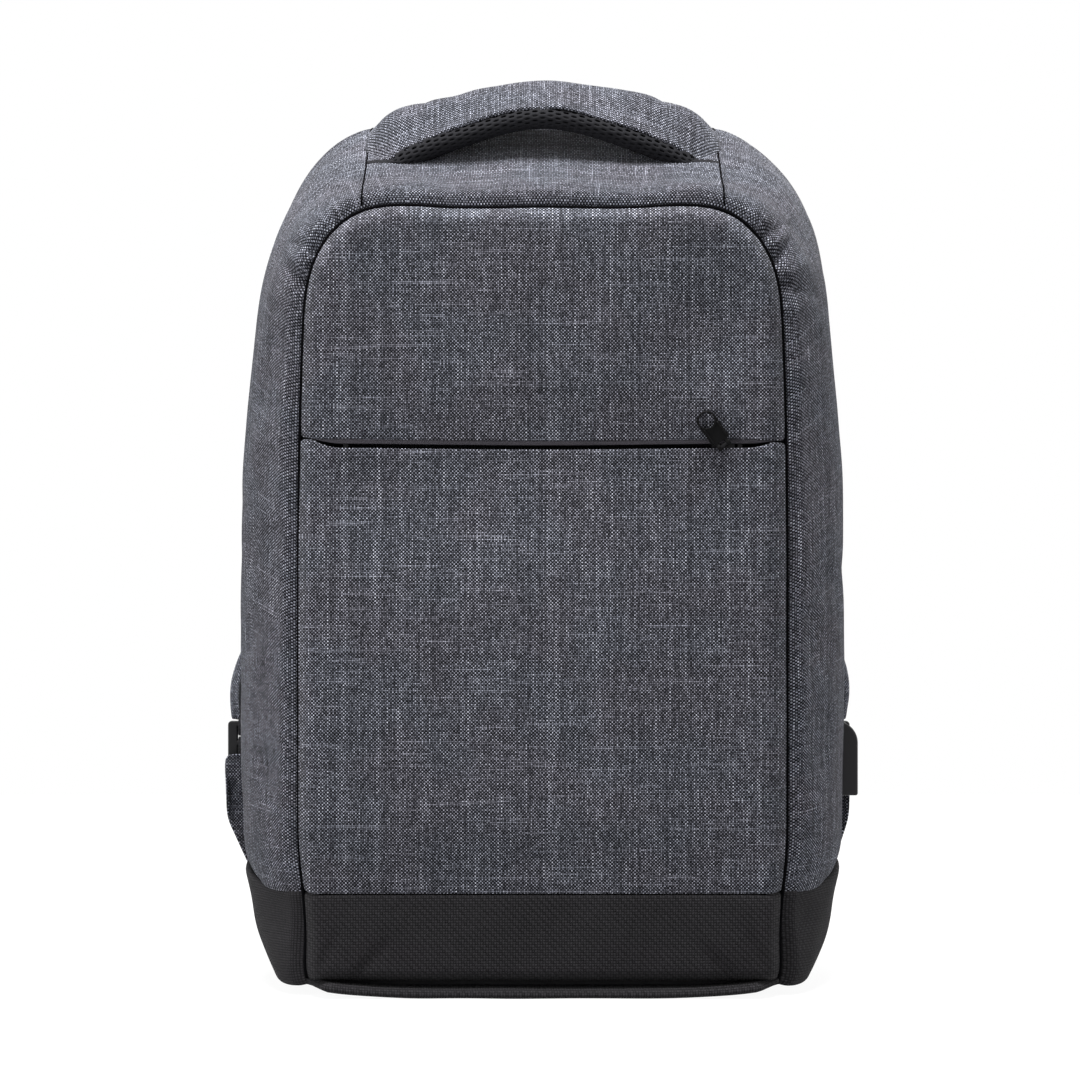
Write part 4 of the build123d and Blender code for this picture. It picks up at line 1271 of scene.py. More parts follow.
# ------------------------------------------------------------------ base
@dataclass
class Base:
    """Black base panel and the padded welt round its edge."""

    form: BagForm
    finishes: Finishes
    thickness: float = 5.0 * MM
    stand: float = 0.4 * MM
    roll: float = 2.0 * MM

    def footprint(self, grow: float, count: int = 40) -> np.ndarray:
        """Closed outline of the walls on the base, from the front left corner, as (x, y)."""
        rows = []
        for station in self.form.STATIONS:
            share = mix(self.form.REAR_LOW[0][0], self.form.FRONT_LOW[0][0], station.square)
            rows.append((station.half * share * MM + grow, station.y * MM))
        rows[0] = (rows[0][0], rows[0][1] - grow)
        rows[-1] = (rows[-1][0], rows[-1][1] + grow)
        right = Spline(rows).walk(count)
        front = [(x, right[0][1]) for x in np.linspace(-right[0][0], right[0][0], count)[:-1]]
        rear = [(x, right[-1][1]) for x in np.linspace(right[-1][0], -right[-1][0], count)[1:-1]]
        left = [(-x, y) for x, y in right[::-1]]
        return np.array([*front, *right, *rear, *left])

    def curl(self, x: float, y: float) -> float:
        """How far the base rises towards its front corners."""
        return min(1.5 * MM * (abs(x) / 0.090) ** 5, 7 * MM) * smooth(0.010, -0.050, y)

    def build(self) -> None:
        """Make the base panel and its welt."""
        edge = self.footprint(0.6 * MM)
        marks = [int(np.argmin(((edge - np.array(corner)) ** 2).sum(1)))
                 for corner in ((-0.13, -0.09), (0.13, -0.09), (0.13, 0.07), (-0.13, 0.07))]
        edge = np.roll(edge, -marks[0], axis=0)
        outline = Path(np.vstack((edge, edge[:1])))
        corners = [float(outline.lengths[mark - marks[0]] / outline.length) for mark in marks]
        flat = disc(outline, corners, (0.0, -0.008))

        def place(u: float, v: float) -> Vector:
            spot = flat(u, v)
            lift = 0.5 * MM * (1 - smooth(0.0, 0.8, spot.y)) + 0.2 * MM * ripple(spot.x, spot.z, 0.0, 0.04)
            return Vector((spot.x, spot.z, 0.4 * MM + max(lift, 0.0) + min(self.curl(spot.x, spot.z), 4.6 * MM)))

        panel = sheet("base_panel_cloth", 60, 30, place, lambda u, v: flat(u, v).xz, self.finishes.black, flip=True)
        thicken(panel, self.thickness - 0.8 * MM)
        assign(panel, "bag_body", "black_fabric", "base_panel", fill=0.4)
        self._welt()

    def _welt(self) -> None:
        """Rolled edge that stands out all round the base."""
        edge = self.footprint(self.stand)
        path = Path(np.vstack((edge, edge[:1])))

        def place(u: float, v: float) -> Vector:
            x, y = path.at(u % 1.0)
            ahead, behind = path.at((u + 0.004) % 1.0), path.at((u - 0.004) % 1.0)
            run = ahead - behind
            out = Vector((run[1], -run[0], 0.0)).normalized()
            turn = 2 * math.pi * v
            wave = 1.0 + 0.16 * ripple(x, y, 0.0, 0.03)
            wide = self.roll * 1.25 * math.cos(turn) * wave
            high = self.roll * (0.95 * wave * math.sin(turn) + 1.0)
            drawn = 1.8 * MM * smooth(0.095, 0.128, abs(x)) * smooth(0.010, -0.050, y)
            spot = Vector((x - math.copysign(drawn, x), y, high + self.curl(x, y) + 0.05 * MM))
            return spot + out * (wide - 0.6 * MM)

        welt = sheet("base_welt_cloth", 220, 14, place,
                     lambda u, v: (u * path.length, v * 2 * math.pi * self.roll), self.finishes.black, flip=True)
        weld(welt)
        assign(welt, "bag_body", "black_fabric", "base_edge_welt", fill=0.8)
        log.info("base laid")


# ------------------------------------------------------------------ grab handle
@dataclass
class Handle:
    """Padded grab handle: melange cover over the top, open mesh below, sewn flat at its ends."""

    form: BagForm
    finishes: Finishes
    half: float = 88.0 * MM
    rise: float = 32.0 * MM
    middle: tuple[float, float] = (10.0 * MM, 409.0 * MM)
    lean: float = math.radians(21.0)
    thick: float = 15.0 * MM
    wide: float = 42.0 * MM
    hems: tuple[float, float] = (math.radians(36.0), math.radians(194.0))
    pitch: float = 4.3 * MM

    def __post_init__(self) -> None:
        self.radius = (self.half ** 2 + self.rise ** 2) / (2 * self.rise)
        self.reach = math.atan2(self.half, self.radius - self.rise)
        self.up = Vector((0.0, -math.sin(self.lean), math.cos(self.lean)))
        self.rear = Vector((0.0, math.cos(self.lean), math.sin(self.lean)))
        self.origin = Vector((0.0, *self.middle))

    def skin(self, share: float, turn: float, sink: float = 0.0) -> Vector:
        """Point of the handle's surface.

        Args:
            share: Place along it, from 0 at the left end to 1 at the right.
            turn: Angle round its section, 0 at the front edge and a right angle on top.
            sink: Distance below the surface.

        Returns:
            The point, kept above the bag's top.
        """
        angle = (2 * share - 1) * self.reach
        end = min(share, 1 - share) * 2 * self.reach * self.radius
        full = smooth(-9 * MM, 26 * MM, end)
        thick = mix(3.0 * MM, self.thick, full) / 2 - sink
        wide = mix(47 * MM, self.wide, full) / 2 - sink
        across, above = square_off(-math.cos(turn), 0.86), square_off(math.sin(turn), 0.92)
        out = self.radius + thick * above
        spot = (self.origin + Vector((math.sin(angle) * out, 0, 0))
                + self.up * (math.cos(angle) * out - self.radius + self.rise) + self.rear * wide * across)
        side = abs(spot.x)
        fuller = 5.4 * MM * smooth(38 * MM, 72 * MM, side) + 3.2 * MM * smooth(64 * MM, 84 * MM, side)
        fuller += 2.0 * MM * bump(spot.x, 0.044, 0.016)
        spot += self.up * (fuller * smooth(-0.7, 0.6, across + 0.4 * above))
        hang = 4.2 * MM + 3.6 * MM * smooth(0.0, 44 * MM, side)
        spot += Vector((0.0, -0.45, -1.0)) * (hang * smooth(0.45, -0.65, across))
        if abs(spot.x) < self.half:
            floor = self.form.roof(spot.x, min(max(spot.y, self.form.seam), self.form.rear))
            lowest = floor + (0.6 * MM if turn < 0 else 1.6 * MM) - sink
            if spot.z < lowest:
                spot.z = lowest
        return spot

    def build(self) -> None:
        """Make the cover and the mesh below it."""
        length = 2 * self.reach * self.radius
        start, end = self.hems
        girth = unrolled(self.skin, start, end)

        def place(u: float, v: float) -> Vector:
            return self.skin(0.004 + 0.992 * u, mix(start, end, v))

        def relief(_: float, v: float, at: Vector) -> float:
            crease = -1.3 * MM * bump(at.x, -0.001, 2.4 * MM) * smooth(0.30, 0.06, v)
            drawn = 0.7 * MM * ripple(at.x, v * 0.05, 0.0, 0.02) + 0.5 * MM * ripple(at.x * 0.6, v * 0.04, 3.0, 0.012)
            folds = -1.3 * MM * bump(at.x + v * 0.03, 0.076, 5 * MM) - 0.9 * MM * bump(at.x - v * 0.02, -0.070, 4 * MM)
            rolled = 0.5 * MM * (bump(v, 0.05, 0.05) + bump(v, 0.95, 0.05))
            return crease + drawn + folds * smooth(1.0, 0.4, v) + rolled

        cover = sheet("handle_cover_cloth", 96, 30, place, lambda u, v: (u * length, girth(v) + 0.9),
                      self.finishes.melange, self.finishes.foam, relief=relief)
        limits = (self.skin(0.5, start).y, self.skin(0.5, end).y)
        Filling(3.0, 10, 1.5 * MM, 0.006).blow(cover, lambda co: abs(co.x) > self.half - 7 * MM)
        thicken(cover, 1.3 * MM, inner=1)
        self._own(cover, "handle_cover")
        log.info("handle cover from y %.1f to %.1f mm", limits[0] * 1000, limits[1] * 1000)
        self._mesh(length)

    def _own(self, piece: Object, node: str) -> None:
        """Bake a piece of the handle into place and hide the CAD node that it stands for."""
        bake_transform(piece)
        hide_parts(node)

    def _mesh(self, length: float) -> None:
        """Honeycomb knit round the handle's lower half."""
        bm = bmesh.new()
        girth = 0.066
        across = 3 * max(int(length / self.pitch / 3 * 1.732), 1)
        around = max(int(girth / self.pitch * 2), 4)
        bmesh.ops.create_grid(bm, x_segments=across, y_segments=around, size=0.5)
        index = {vert: (round((vert.co.x + 0.5) * across), round((vert.co.y + 0.5) * around)) for vert in bm.verts}
        for vert, (i, j) in index.items():
            vert.co.x += 0.5 / across * (j % 2)
        bmesh.ops.triangulate(bm, faces=bm.faces[:])
        hubs = [vert for vert, (i, j) in index.items() if (i + 2 * j - j // 2) % 3 == 0 and not vert.is_boundary]
        bmesh.ops.dissolve_verts(bm, verts=hubs)
        start, end = self.hems[0] + 0.12, self.hems[1] - 2 * math.pi - 0.12
        for vert in bm.verts:
            u, v = min(max(vert.co.x + 0.5, 0.0), 1.0), vert.co.y + 0.5
            vert.co = self.skin(0.006 + 0.988 * u, mix(start, end, v), 0.7 * MM)
        bmesh.ops.recalc_face_normals(bm, faces=bm.faces[:])
        cells = [face for face in bm.faces if len(face.verts) == 6]
        bmesh.ops.inset_individual(bm, faces=cells, thickness=0.72 * MM, use_even_offset=True)
        bmesh.ops.delete(bm, geom=cells, context="FACES_ONLY")
        log.info("honeycomb of %d cells", len(cells))
        bm.normal_update()
        mesh = object_from(bm, "handle_air_mesh", self.finishes.knit)
        thicken(mesh, 0.9 * MM)
        self._own(mesh, "handle_mesh")
        self._foam()

    def _foam(self) -> None:
        """Foam core seen through the open mesh."""
        def place(u: float, v: float) -> Vector:
            return self.skin(0.012 + 0.976 * u, -2 * math.pi * v, 2.1 * MM)

        foam = sheet("handle_foam_core", 60, 20, place, lambda u, v: (u, v), self.finishes.foam)
        seal(foam)
        self._own(foam, "handle_core")


# ------------------------------------------------------------------ sewing
@dataclass
class Sewing:
    """Rows of topstitching that show on the outside."""

    form: BagForm
    finishes: Finishes
    stitch: float = 2.6 * MM
    gap: float = 0.9 * MM
    thread: float = 0.27 * MM
    top_seam: float = 87.6 * MM

    def on(self, cloth: str, name: str, spots: Sequence[tuple[Vector, Vector]], body: str) -> None:
        """Sew a row onto a piece of cloth.

        Args:
            cloth: Name of the piece that the row lies on.
            name: Name of the row.
            spots: Points near the row, each with the direction towards the cloth.
            body: Body that it moves with.
        """
        line = np.array(self.laid((cloth,), spots))
        row = stitches(name, line, self.finishes.thread, self.stitch, self.gap, self.thread)
        assign(row, body, "melange_fabric")

    def laid(self, cloths: Sequence[str], spots: Sequence[tuple[Vector, Vector]]) -> list[tuple[float, ...]]:
        """Points where rays first meet one of some pieces of cloth.

        Args:
            cloths: Names of the pieces.
            spots: Points near them, each with the direction towards the cloth.

        Returns:
            One point for each ray that meets a piece.
        """
        graph = bpy.context.evaluated_depsgraph_get()
        trees = [BVHTree.FromObject(bpy.data.objects[name], graph) for name in cloths]
        line = []
        for point, aim in spots:
            hits = [tree.ray_cast(point - aim * 0.04, aim, 0.09)[0] for tree in trees]
            met = [hit for hit in hits if hit is not None]
            if met:
                line.append(tuple(min(met, key=aim.dot)))
        return line

    def build(self) -> None:
        """Sew the bag's rows."""
        form = self.form
        y = form.seam + 7.5 * MM
        down = Vector((0.0, 0.45, -0.9)).normalized()
        hem = [(Vector((x, y, form.roof(x, y))), down) for x in np.linspace(-0.083, 0.083, 60)]
        self.on("top_panel_cloth", "top_panel_hem_row", hem, "bag_body")
        y = form.rear - 6.5 * MM
        section = form.section(y)
        start, end = section.share_at_height(0.06), section.share_at_side(0.089)
        shares = np.linspace(start, end, 150)
        for side, word in ((1, "right"), (-1, "left")):
            spots = []
            for share in shares:
                point, ahead = form.point(share, y), form.point(min(share + 0.01, 1.0), y)
                inward = Vector((-(ahead.z - point.z), 0.0, ahead.x - point.x)).normalized()
                spots.append((Vector((side * point.x, y, point.z)), Vector((side * inward.x, 0.0, inward.z))))
            self.on(f"side_gusset_cloth_{word}", f"side_gusset_rear_row_{word}", spots, "bag_body")
            self._join(side, word)
            self._strap(side, word)
        log.info("rows sewn")

    def _join(self, side: int, word: str) -> None:
        """Painted shadow along the seam between the top panel and a gusset: a thin near-black tube laid in the seam."""
        spots = []
        for y in np.linspace(self.form.seam + 1.0 * MM, self.form.rear - 3.0 * MM, 90):
            point = self.form.point(self.form.section(y).share_at_side(self.top_seam), y)
            spots.append((Vector((side * point.x, y, point.z)), Vector((0.0, 0.45, -0.89))))
        line = self.laid(("top_panel_cloth", f"side_gusset_cloth_{word}"), spots)
        # Near-black tube: painted shadow of the seam's groove.
        cord = tube(f"top_panel_seam_shadow_{word}", line, 0.5 * MM, self.finishes.seam_shade)
        assign(cord, "bag_body", "melange_fabric")

    def _strap(self, side: int, word: str) -> None:
        """Two rows along a shoulder strap."""
        strap = ShoulderStrap(self.finishes, side)
        for turn, place in ((strap.row, "outer"), (math.pi - strap.row, "inner")):
            spots = [(strap.skin(share, turn), Vector((0, -1, 0))) for share in np.linspace(0.03, 0.97, 120)]
            self.on(f"shoulder_strap_cloth_{word}", f"strap_{place}_row_{word}", spots, strap.body)


# ------------------------------------------------------------------ pocket zip
@dataclass
class PocketZip:
    """Tapes, coil, stops, slider and pull of the front pocket."""

    finishes: Finishes
    panels: FrontPanels
    half: float = 96.0 * MM
    tape_y: float = -71.4 * MM
    coil_y: float = -67.1 * MM
    pitch: float = 1.5 * MM
    loop: tuple[float, float, float] = (0.5 * MM, 1.0 * MM, 0.92 * MM)
    pull_bar: float = 86.6 * MM
    pull_lean: float = math.radians(35.0)
    hole: tuple[float, float] = (3.7 * MM, 14.25 * MM)

    def build(self) -> None:
        """Make the zip."""
        for up, word in ((1, "upper"), (-1, "lower")):
            self._tape(up, word)
        self._coil()
        softened("front_zip_stops", "front_zip_stop_bars", self.finishes.metal, "bag_body", "dark_metal")
        softened("front_zip_slider", "front_zip_slider_body", self.finishes.metal, "front_slider", "dark_metal",
                 0.2 * MM)
        softened("front_zip_pull", "front_zip_pull_tab", self.finishes.rubber, "front_pull", "pull_rubber", 0.38 * MM)
        self._rim()
        log.info("pocket zip built")

    def _tape(self, up: int, word: str) -> None:
        """One tape, from behind its panel to the middle of the zip."""
        form = self.panels.form
        section = form.section(form.seam)
        reach = section.point(section.share_at_height(self.panels.zip_z))[0] - 1.5 * MM

        def place(u: float, v: float) -> Vector:
            x = (2 * u - 1) * reach
            off = mix(0.95 * MM, 13 * MM, v)
            dip = (0.9 if up < 0 else -0.9) * MM * smooth(4 * MM, 0.0, off)
            lift = math.sin(min((reach - abs(x)) / self.panels.roll, 1.0) * math.pi / 2)
            return Vector((x, mix(form.seam, self.tape_y, lift) + dip * lift,
                           self.panels.zip_z + up * off + self.panels.sag(x)))

        tape = sheet(f"front_zip_tape_cloth_{word}", 120, 6, place, lambda u, v: (v * 0.012, u * 2 * reach),
                     self.finishes.pocket_tape, flip=up < 0)
        thicken(tape, 0.8 * MM)
        assign(tape, "bag_body", "webbing", f"front_zip_tape_{word}")

    def _coil(self) -> None:
        """Two rows of coil loops behind the tapes."""
        bm = bmesh.new()
        count = int(2 * self.half / self.pitch)
        for index in range(count):
            for up in (-1, 1):
                middle = Vector((-self.half + (index + 0.5 + 0.25 * up) * self.pitch, self.coil_y,
                                 self.panels.zip_z + up * 1.58 * MM))
                bead(bm, middle, self.loop, Matrix.Identity(3))
        coil = object_from(bm, "front_zip_coil_loops", self.finishes.plastic)
        assign(coil, "bag_body", "black_plastic", "front_zip_coil")

    def _rim(self) -> None:
        """Raised ring round the pull's hole and raised lines along its edges."""
        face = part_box("front_zip_pull")[0][1]
        bar = Vector((self.pull_bar, face, self.panels.zip_z))
        along = Vector((-math.sin(self.pull_lean), 0.0, math.cos(self.pull_lean)))
        across = Vector((math.cos(self.pull_lean), 0.0, math.sin(self.pull_lean)))
        centre = bar + along * self.hole[1]
        ring = [centre + (across * math.cos(a) + along * math.sin(a)) * (self.hole[0] + 0.45 * MM)
                for a in np.linspace(0, 2 * math.pi, 33)[:-1]]
        parts = [tube("ring", ring, 0.42 * MM, self.finishes.rubber, True)]
        for side in (-1, 1):
            line = [bar + across * side * 3.7 * MM + along * d for d in np.linspace(2.6 * MM, self.hole[1] - 3 * MM, 8)]
            parts.append(tube("line", line, 0.36 * MM, self.finishes.rubber))
        assign(merge("front_zip_pull_rim", parts), "front_pull", "pull_rubber")


# ------------------------------------------------------------------ rear zip
@dataclass
class RearZip:
    """The zip round the rear edge: tapes, coils, binding, slider and pull."""

    form: BagForm
    finishes: Finishes
    end_z: float = 40.0 * MM
    pitch: float = 1.7 * MM
    loop: tuple[float, float, float] = (0.62 * MM, 0.85 * MM, 1.05 * MM)

    def line(self, inset: float) -> np.ndarray:
        """Row of (x, z) points up the right side, over the arch and down the left."""
        section = self.form.section(self.form.rear, inset)
        start = section.share_at_height(self.end_z)
        return np.array([section.point(s) for s in np.linspace(start, 2 - start, 400)])

    def build(self) -> None:
        """Make the zip."""
        rows = (("body", "bag_body", 58.0, 60.4, 60.4, 61.9), ("panel", "back_panel", 64.6, 67.0, 63.1, 64.6))
        for word, body, tape_from, tape_to, coil_from, coil_to in rows:
            self._bar(f"main_zip_tape_cloth_{word}", self.line(2.4 * MM), 1.5 * MM, tape_from * MM, tape_to * MM,
                      body, f"main_zip_tape_{word}")
            self._coil(word, body, (coil_from + coil_to) / 2 * MM)
        low = self.form.section(self.form.rear, 2.4 * MM)
        right = [low.point(s) for s in np.linspace(low.share_at_height(self.end_z), 0.0, 40)]
        foot = [(x, low.point(0.0)[1] + 1.6 * MM) for x in np.linspace(right[-1][0], -right[-1][0], 60)][1:-1]
        right[-1] = (right[-1][0], foot[0][1])
        left = [(-x, z) for x, z in right[::-1]]
        self._bar("back_binding_cloth", np.array([*right, *foot, *left]), 1.5 * MM, 58.0 * MM, 61.8 * MM,
                  "bag_body", "back_binding")
        softened("main_zip_slider", "main_zip_slider_body", self.finishes.metal, "rear_slider", "dark_metal", 0.2 * MM)
        softened("main_zip_pull", "main_zip_pull_tab", self.finishes.rubber, "rear_pull", "pull_rubber", 0.35 * MM)
        log.info("rear zip built")

    def _bar(self, name: str, line: np.ndarray, depth: float, y_from: float, y_to: float, body: str,
             node: str) -> None:
        """A narrow band of folded tape along a line of (x, z) points."""
        path = Path(line)
        middle, half = (y_from + y_to) / 2, (y_to - y_from) / 2

        def place(u: float, v: float) -> Vector:
            x, z = path.at(u)
            run = path.run(u, 0.003)
            out = np.array((run[1], -run[0])) / max(float(np.linalg.norm(run)), 1e-9)
            turn = 2 * math.pi * v
            a, b = square_off(math.cos(turn), 0.5), square_off(math.sin(turn), 0.5)
            x, z = np.array((x, z)) + out * depth * a
            return Vector((x, middle + half * b, z))

        piece = sheet(name, max(int(path.length / (4 * MM)), 30), 12, place,
                      lambda u, v: (v * 0.010, u * path.length), self.finishes.webbing)
        seal(piece)
        assign(piece, body, "webbing", node)

    def _coil(self, word: str, body: str, y: float) -> None:
        """A row of coil loops along the zip."""
        path = Path(self.line(2.3 * MM))
        count = int(path.length / self.pitch)
        bm = bmesh.new()
        for index in range(count):
            share = (index + (0.25 if word == "body" else 0.75)) / count
            x, z = path.at(share)
            run = path.run(share, 0.002)
            bead(bm, Vector((x, y, z)), self.loop, Matrix.Rotation(-math.atan2(run[1], run[0]), 3, "Y"))
        coil = object_from(bm, f"main_zip_coil_loops_{word}", self.finishes.plastic)
        assign(coil, body, "black_plastic", f"main_zip_coil_{word}")


# ------------------------------------------------------------------ back panel
@dataclass
class BackPanel:
    """Opening back panel: padded mesh cover, three pads, lining, laptop sleeve and its closure."""

    form: BagForm
    finishes: Finishes
    inset: float = 4.3 * MM
    inner_y: float = 63.2 * MM
    outer_y: float = 70.7 * MM
    bottom: float = 14.2 * MM
    pad_height: float = 7.0 * MM

    def outline(self, inset: float) -> tuple[np.ndarray, list[int]]:
        """Closed outline of the panel, counter-clockwise from its lower left corner."""
        section = self.form.section(self.form.rear, inset)
        start = section.share_at_height(self.bottom)
        arch = [section.point(s) for s in np.linspace(start, 2 - start, 200)]
        foot = [(x, self.bottom) for x in np.linspace(-arch[0][0], arch[0][0], 50)][:-1]
        points = np.array([*foot, *arch[:-1]])
        right = int(np.argmin(np.abs(points[49:149, 1] - 0.40))) + 49
        left = len(points) - (right - 49)
        return points, [0, 49, right, left]

    def build(self) -> None:
        """Make the panel and what is sewn to it."""
        outline, corners = self.outline(self.inset)
        cover = Cushion("back_cover_cloth", outline, corners, self.inner_y + 1.6 * MM,
                        self.outer_y - self.inner_y - 1.8 * MM, 5 * MM, (70, 90), swell=1.2 * MM, fill=0.5)
        assign(cover.build(self.finishes.mesh, self.finishes.lining), "back_panel", "spacer_mesh", "back_panel_cover")
        lining = Cushion("back_panel_lining_cloth", outline, corners, self.inner_y + 1.4 * MM, 1.2 * MM, 4 * MM,
                         (40, 50), swell=0.4 * MM, fill=0.1)
        piece = lining.build(self.finishes.lining, self.finishes.lining, -1.0, 0.8 * MM)
        assign(piece, "back_panel", "lining_fabric", "back_panel_lining")
        self._pads()
        self._sleeve()
        self._piping(outline)
        log.info("back panel built")

    def _pads(self) -> None:
        """Two back pads and a lumbar pad with sewn channels."""
        for node, name, cells, channels in (
                ("back_pad_right", "back_pad_cloth_right", (40, 76), (0.26, 0.51, 0.76)),
                ("back_pad_left", "back_pad_cloth_left", (40, 76), (0.26, 0.51, 0.76)),
                ("lumbar_pad", "lumbar_pad_cloth", (76, 34), (0.5,))):
            low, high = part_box(node)
            outline, corners = round_rectangle((low[0], high[0]), (low[2], high[2]), 18 * MM)
            lines = [mix(low[2], high[2], share) for share in channels]
            pad = Cushion(name, outline, corners, self.outer_y - 0.6 * MM, self.pad_height, 9 * MM, cells, lines)
            assign(pad.build(self.finishes.mesh, self.finishes.foam), "back_panel", "spacer_mesh", node)

    def _piping(self, outline: np.ndarray) -> None:
        """Bound edge round the panel's outer face."""
        loop = [(x * 0.985, self.outer_y - 1.4 * MM, 0.22 + (z - 0.22) * 0.985) for x, z in outline[::3]]
        assign(tube("back_panel_bound_edge", loop, 1.5 * MM, self.finishes.webbing, True), "back_panel", "webbing")

    def _sleeve(self) -> None:
        """Padded laptop sleeve with an open top, and the strap that closes it."""
        low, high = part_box("laptop_sleeve")
        depth = self.inner_y - low[1]
        centre = (low[0] + high[0]) / 2
        half, tall = (high[0] - low[0]) / 2, high[2] - low[2]

        def place(u: float, v: float) -> Vector:
            x, z = centre + (2 * u - 1) * half, low[2] + v * tall
            side = math.sin(min((half - abs(x - centre)) / (7 * MM), 1.0) * math.pi / 2) ** 0.6
            foot = math.sin(min((z - low[2]) / (7 * MM), 1.0) * math.pi / 2) ** 0.6
            soft = 0.6 * MM * ripple(x, 0.0, z, 0.05)
            return Vector((x, self.inner_y - 0.6 * MM - (depth - 1.4 * MM) * side * foot + soft, z))

        sleeve = sheet("laptop_sleeve_cloth", 90, 70, place, lambda u, v: (u * 2 * half, v * tall),
                       self.finishes.lining, self.finishes.lining)
        thicken(sleeve, 1.6 * MM)
        assign(sleeve, "back_panel", "lining_fabric", "laptop_sleeve", fill=0.3)
        rim = [place(u, 1.0) + Vector((0, 0.6 * MM, 0)) for u in np.linspace(0, 1, 70)]
        assign(tube("laptop_sleeve_binding", rim, 1.3 * MM, self.finishes.webbing), "back_panel", "webbing")
        top = high[2] + 2.4 * MM
        front = low[1] - 0.9 * MM
        path = rounded([(front, high[2] - 30 * MM), (front, top), (self.inner_y - 1.4 * MM, top),
                        (self.inner_y - 1.4 * MM, high[2] + 22 * MM)])
        strap = ribbon("sleeve_closure_webbing", path, 0.0, 24 * MM, 1.4 * MM, self.finishes.webbing)
        assign(strap, "back_panel", "webbing", "sleeve_closure")


# ------------------------------------------------------------------ shoulder straps
@dataclass
class ShoulderStrap:
    """One padded shoulder strap with its anchor, lower webbing, ladder lock and wing."""

    finishes: Finishes
    side: int
    face: float = 70.7 * MM
    thick: float = 11.0 * MM
    wrap: float = 0.95             # how far the cover goes round the edges, in radians
    hem: float = 0.86              # where the lining starts, likewise
    row: float = 0.41              # where the stitches lie on the outer side, likewise
    top: tuple[float, float, float] = (42.0, 84.2, 406.0)
    low: tuple[float, float, float] = (146.0, 74.5, 98.0)
    BULGE = ((7.0, 128.0), (24.0, 180.0), (29.0, 262.0), (17.0, 350.0), (7.5, 412.0))
    OUTER = ((162.5, 126.2), (164.0, 142.0), (153.0, 174.0), (121.0, 250.0), (86.0, 350.0), (69.0, 420.0))
    INNER = ((126.0, 126.2), (121.0, 142.0), (101.0, 178.0), (64.0, 252.0), (28.0, 345.0), (15.0, 420.0))
    WING = ((106.0, 62.0), (112.0, 38.0), (147.0, 38.0), (164.5, 76.0), (165.5, 109.0), (134.0, 109.0))

    def __post_init__(self) -> None:
        self.word = "right" if self.side > 0 else "left"
        self.body = f"strap_{self.word}"
        start, end = Vector(self.low), Vector(self.top)
        self.axis = (end - start).normalized()
        self.depth = Spline([(y,) for y, _ in self.BULGE], knots=[z for _, z in self.BULGE])
        self.outer, self.inner = self._edge(self.OUTER), self._edge(self.INNER)
        self.length = 0.5 * (self.outer.length + self.inner.length)

    def _edge(self, points: Sequence[Sequence[float]]) -> Path:
        """One edge of the strap up to its top seam, in metres."""
        row = Spline(points).walk(120)
        keep = [p for p in row if (p[0] - self.top[0]) * self.axis.x + (p[1] - self.top[2]) * self.axis.z < 0]
        return Path(np.array(keep) * MM)

    def skin(self, share: float, turn: float, sink: float = 0.0) -> Vector:
        """Point of the strap at a share of its length and an angle round its section."""
        a, b = self.inner.at(share), self.outer.at(share)
        end = min(share, 1 - share) * self.length
        full = mix(0.42, 1.0, smooth(0.0, 16 * MM, end))
        across = square_off(-math.cos(turn), 0.7) * (1 - 2 * sink / float(np.linalg.norm(b - a)))
        above = square_off(math.sin(turn), 0.85) * (1 - 2 * sink / self.thick)
        x, z = (a + b) / 2 + (b - a) / 2 * across
        tall = z / MM
        slope = float(self.depth.at(tall + 1)[0] - self.depth.at(tall - 1)[0]) / 2
        out = Vector((0.0, 1.0, -slope)).normalized()
        y = self.face + float(self.depth.at(tall)[0]) * MM + self.thick / 2
        spot = Vector((x, y, z)) + out * (self.thick / 2 * full * above)
        return Vector((self.side * (spot.x - self.drawn(spot.z)), spot.y, spot.z))

    def drawn(self, z: float) -> float:
        """How far the right strap's lower end hangs nearer to the middle."""
        return 4.0 * MM * smooth(0.19, 0.125, z) if self.side > 0 else 0.0

    def build(self) -> None:
        """Make the strap and its fittings."""
        self._cover()
        self._lining()
        self._binding()
        self._anchor()
        self._webbing()
        self._wing()
        lock = softened(f"ladder_lock_{self.word}", f"ladder_lock_body_{self.word}", self.finishes.plastic, self.body,
                        "black_plastic", 0.8 * MM)
        for name in (lock.name, f"lower_webbing_strip_{self.word}", f"buckle_loop_strip_{self.word}"):
            for vert in bpy.data.objects[name].data.vertices:
                vert.co.x -= self.side * self.drawn(vert.co.z)
        log.info("%s and %s strap built", lock.name, self.word)

    def _cover(self) -> None:
        """Melange cover over the strap's outside and edges."""
        start, end = -self.wrap, math.pi + self.wrap
        girth = unrolled(self.skin, start, end)

        def place(u: float, v: float) -> Vector:
            return self.skin(u, mix(start, end, v))

        def relief(_: float, v: float, at: Vector) -> float:
            rows = -0.55 * MM * (bump(v, 0.27, 0.018) + bump(v, 0.73, 0.018))
            return rows + 0.5 * MM * ripple(at.x, at.y, at.z, 0.03) * smooth(0, 0.1, v) * smooth(1, 0.9, v)

        cover = sheet(f"shoulder_strap_cloth_{self.word}", 110, 22, place,
                      lambda u, v: (girth(v) + 1.3, u * self.length), self.finishes.melange, self.finishes.foam,
                      relief=relief, flip=self.side < 0)
        Filling(3.0, 10, 1.6 * MM, 0.006).blow(
            cover, lambda co: self.outer.distance((abs(co.x), co.z)) < 2 * MM
            or self.inner.distance((abs(co.x), co.z)) < 2 * MM or co.z < 0.134 or co.z > 0.40)
        thicken(cover, 1.5 * MM, inner=1)
        assign(cover, self.body, "melange_fabric", f"shoulder_strap_{self.word}", fill=0.7)
        log.info("strap cover %.0f mm long", self.length * 1000)

    def _lining(self) -> None:
        """Air mesh on the side that lies on the shoulder."""
        start, end = -self.hem, self.hem - math.pi
        girth = unrolled(self.skin, start, end)

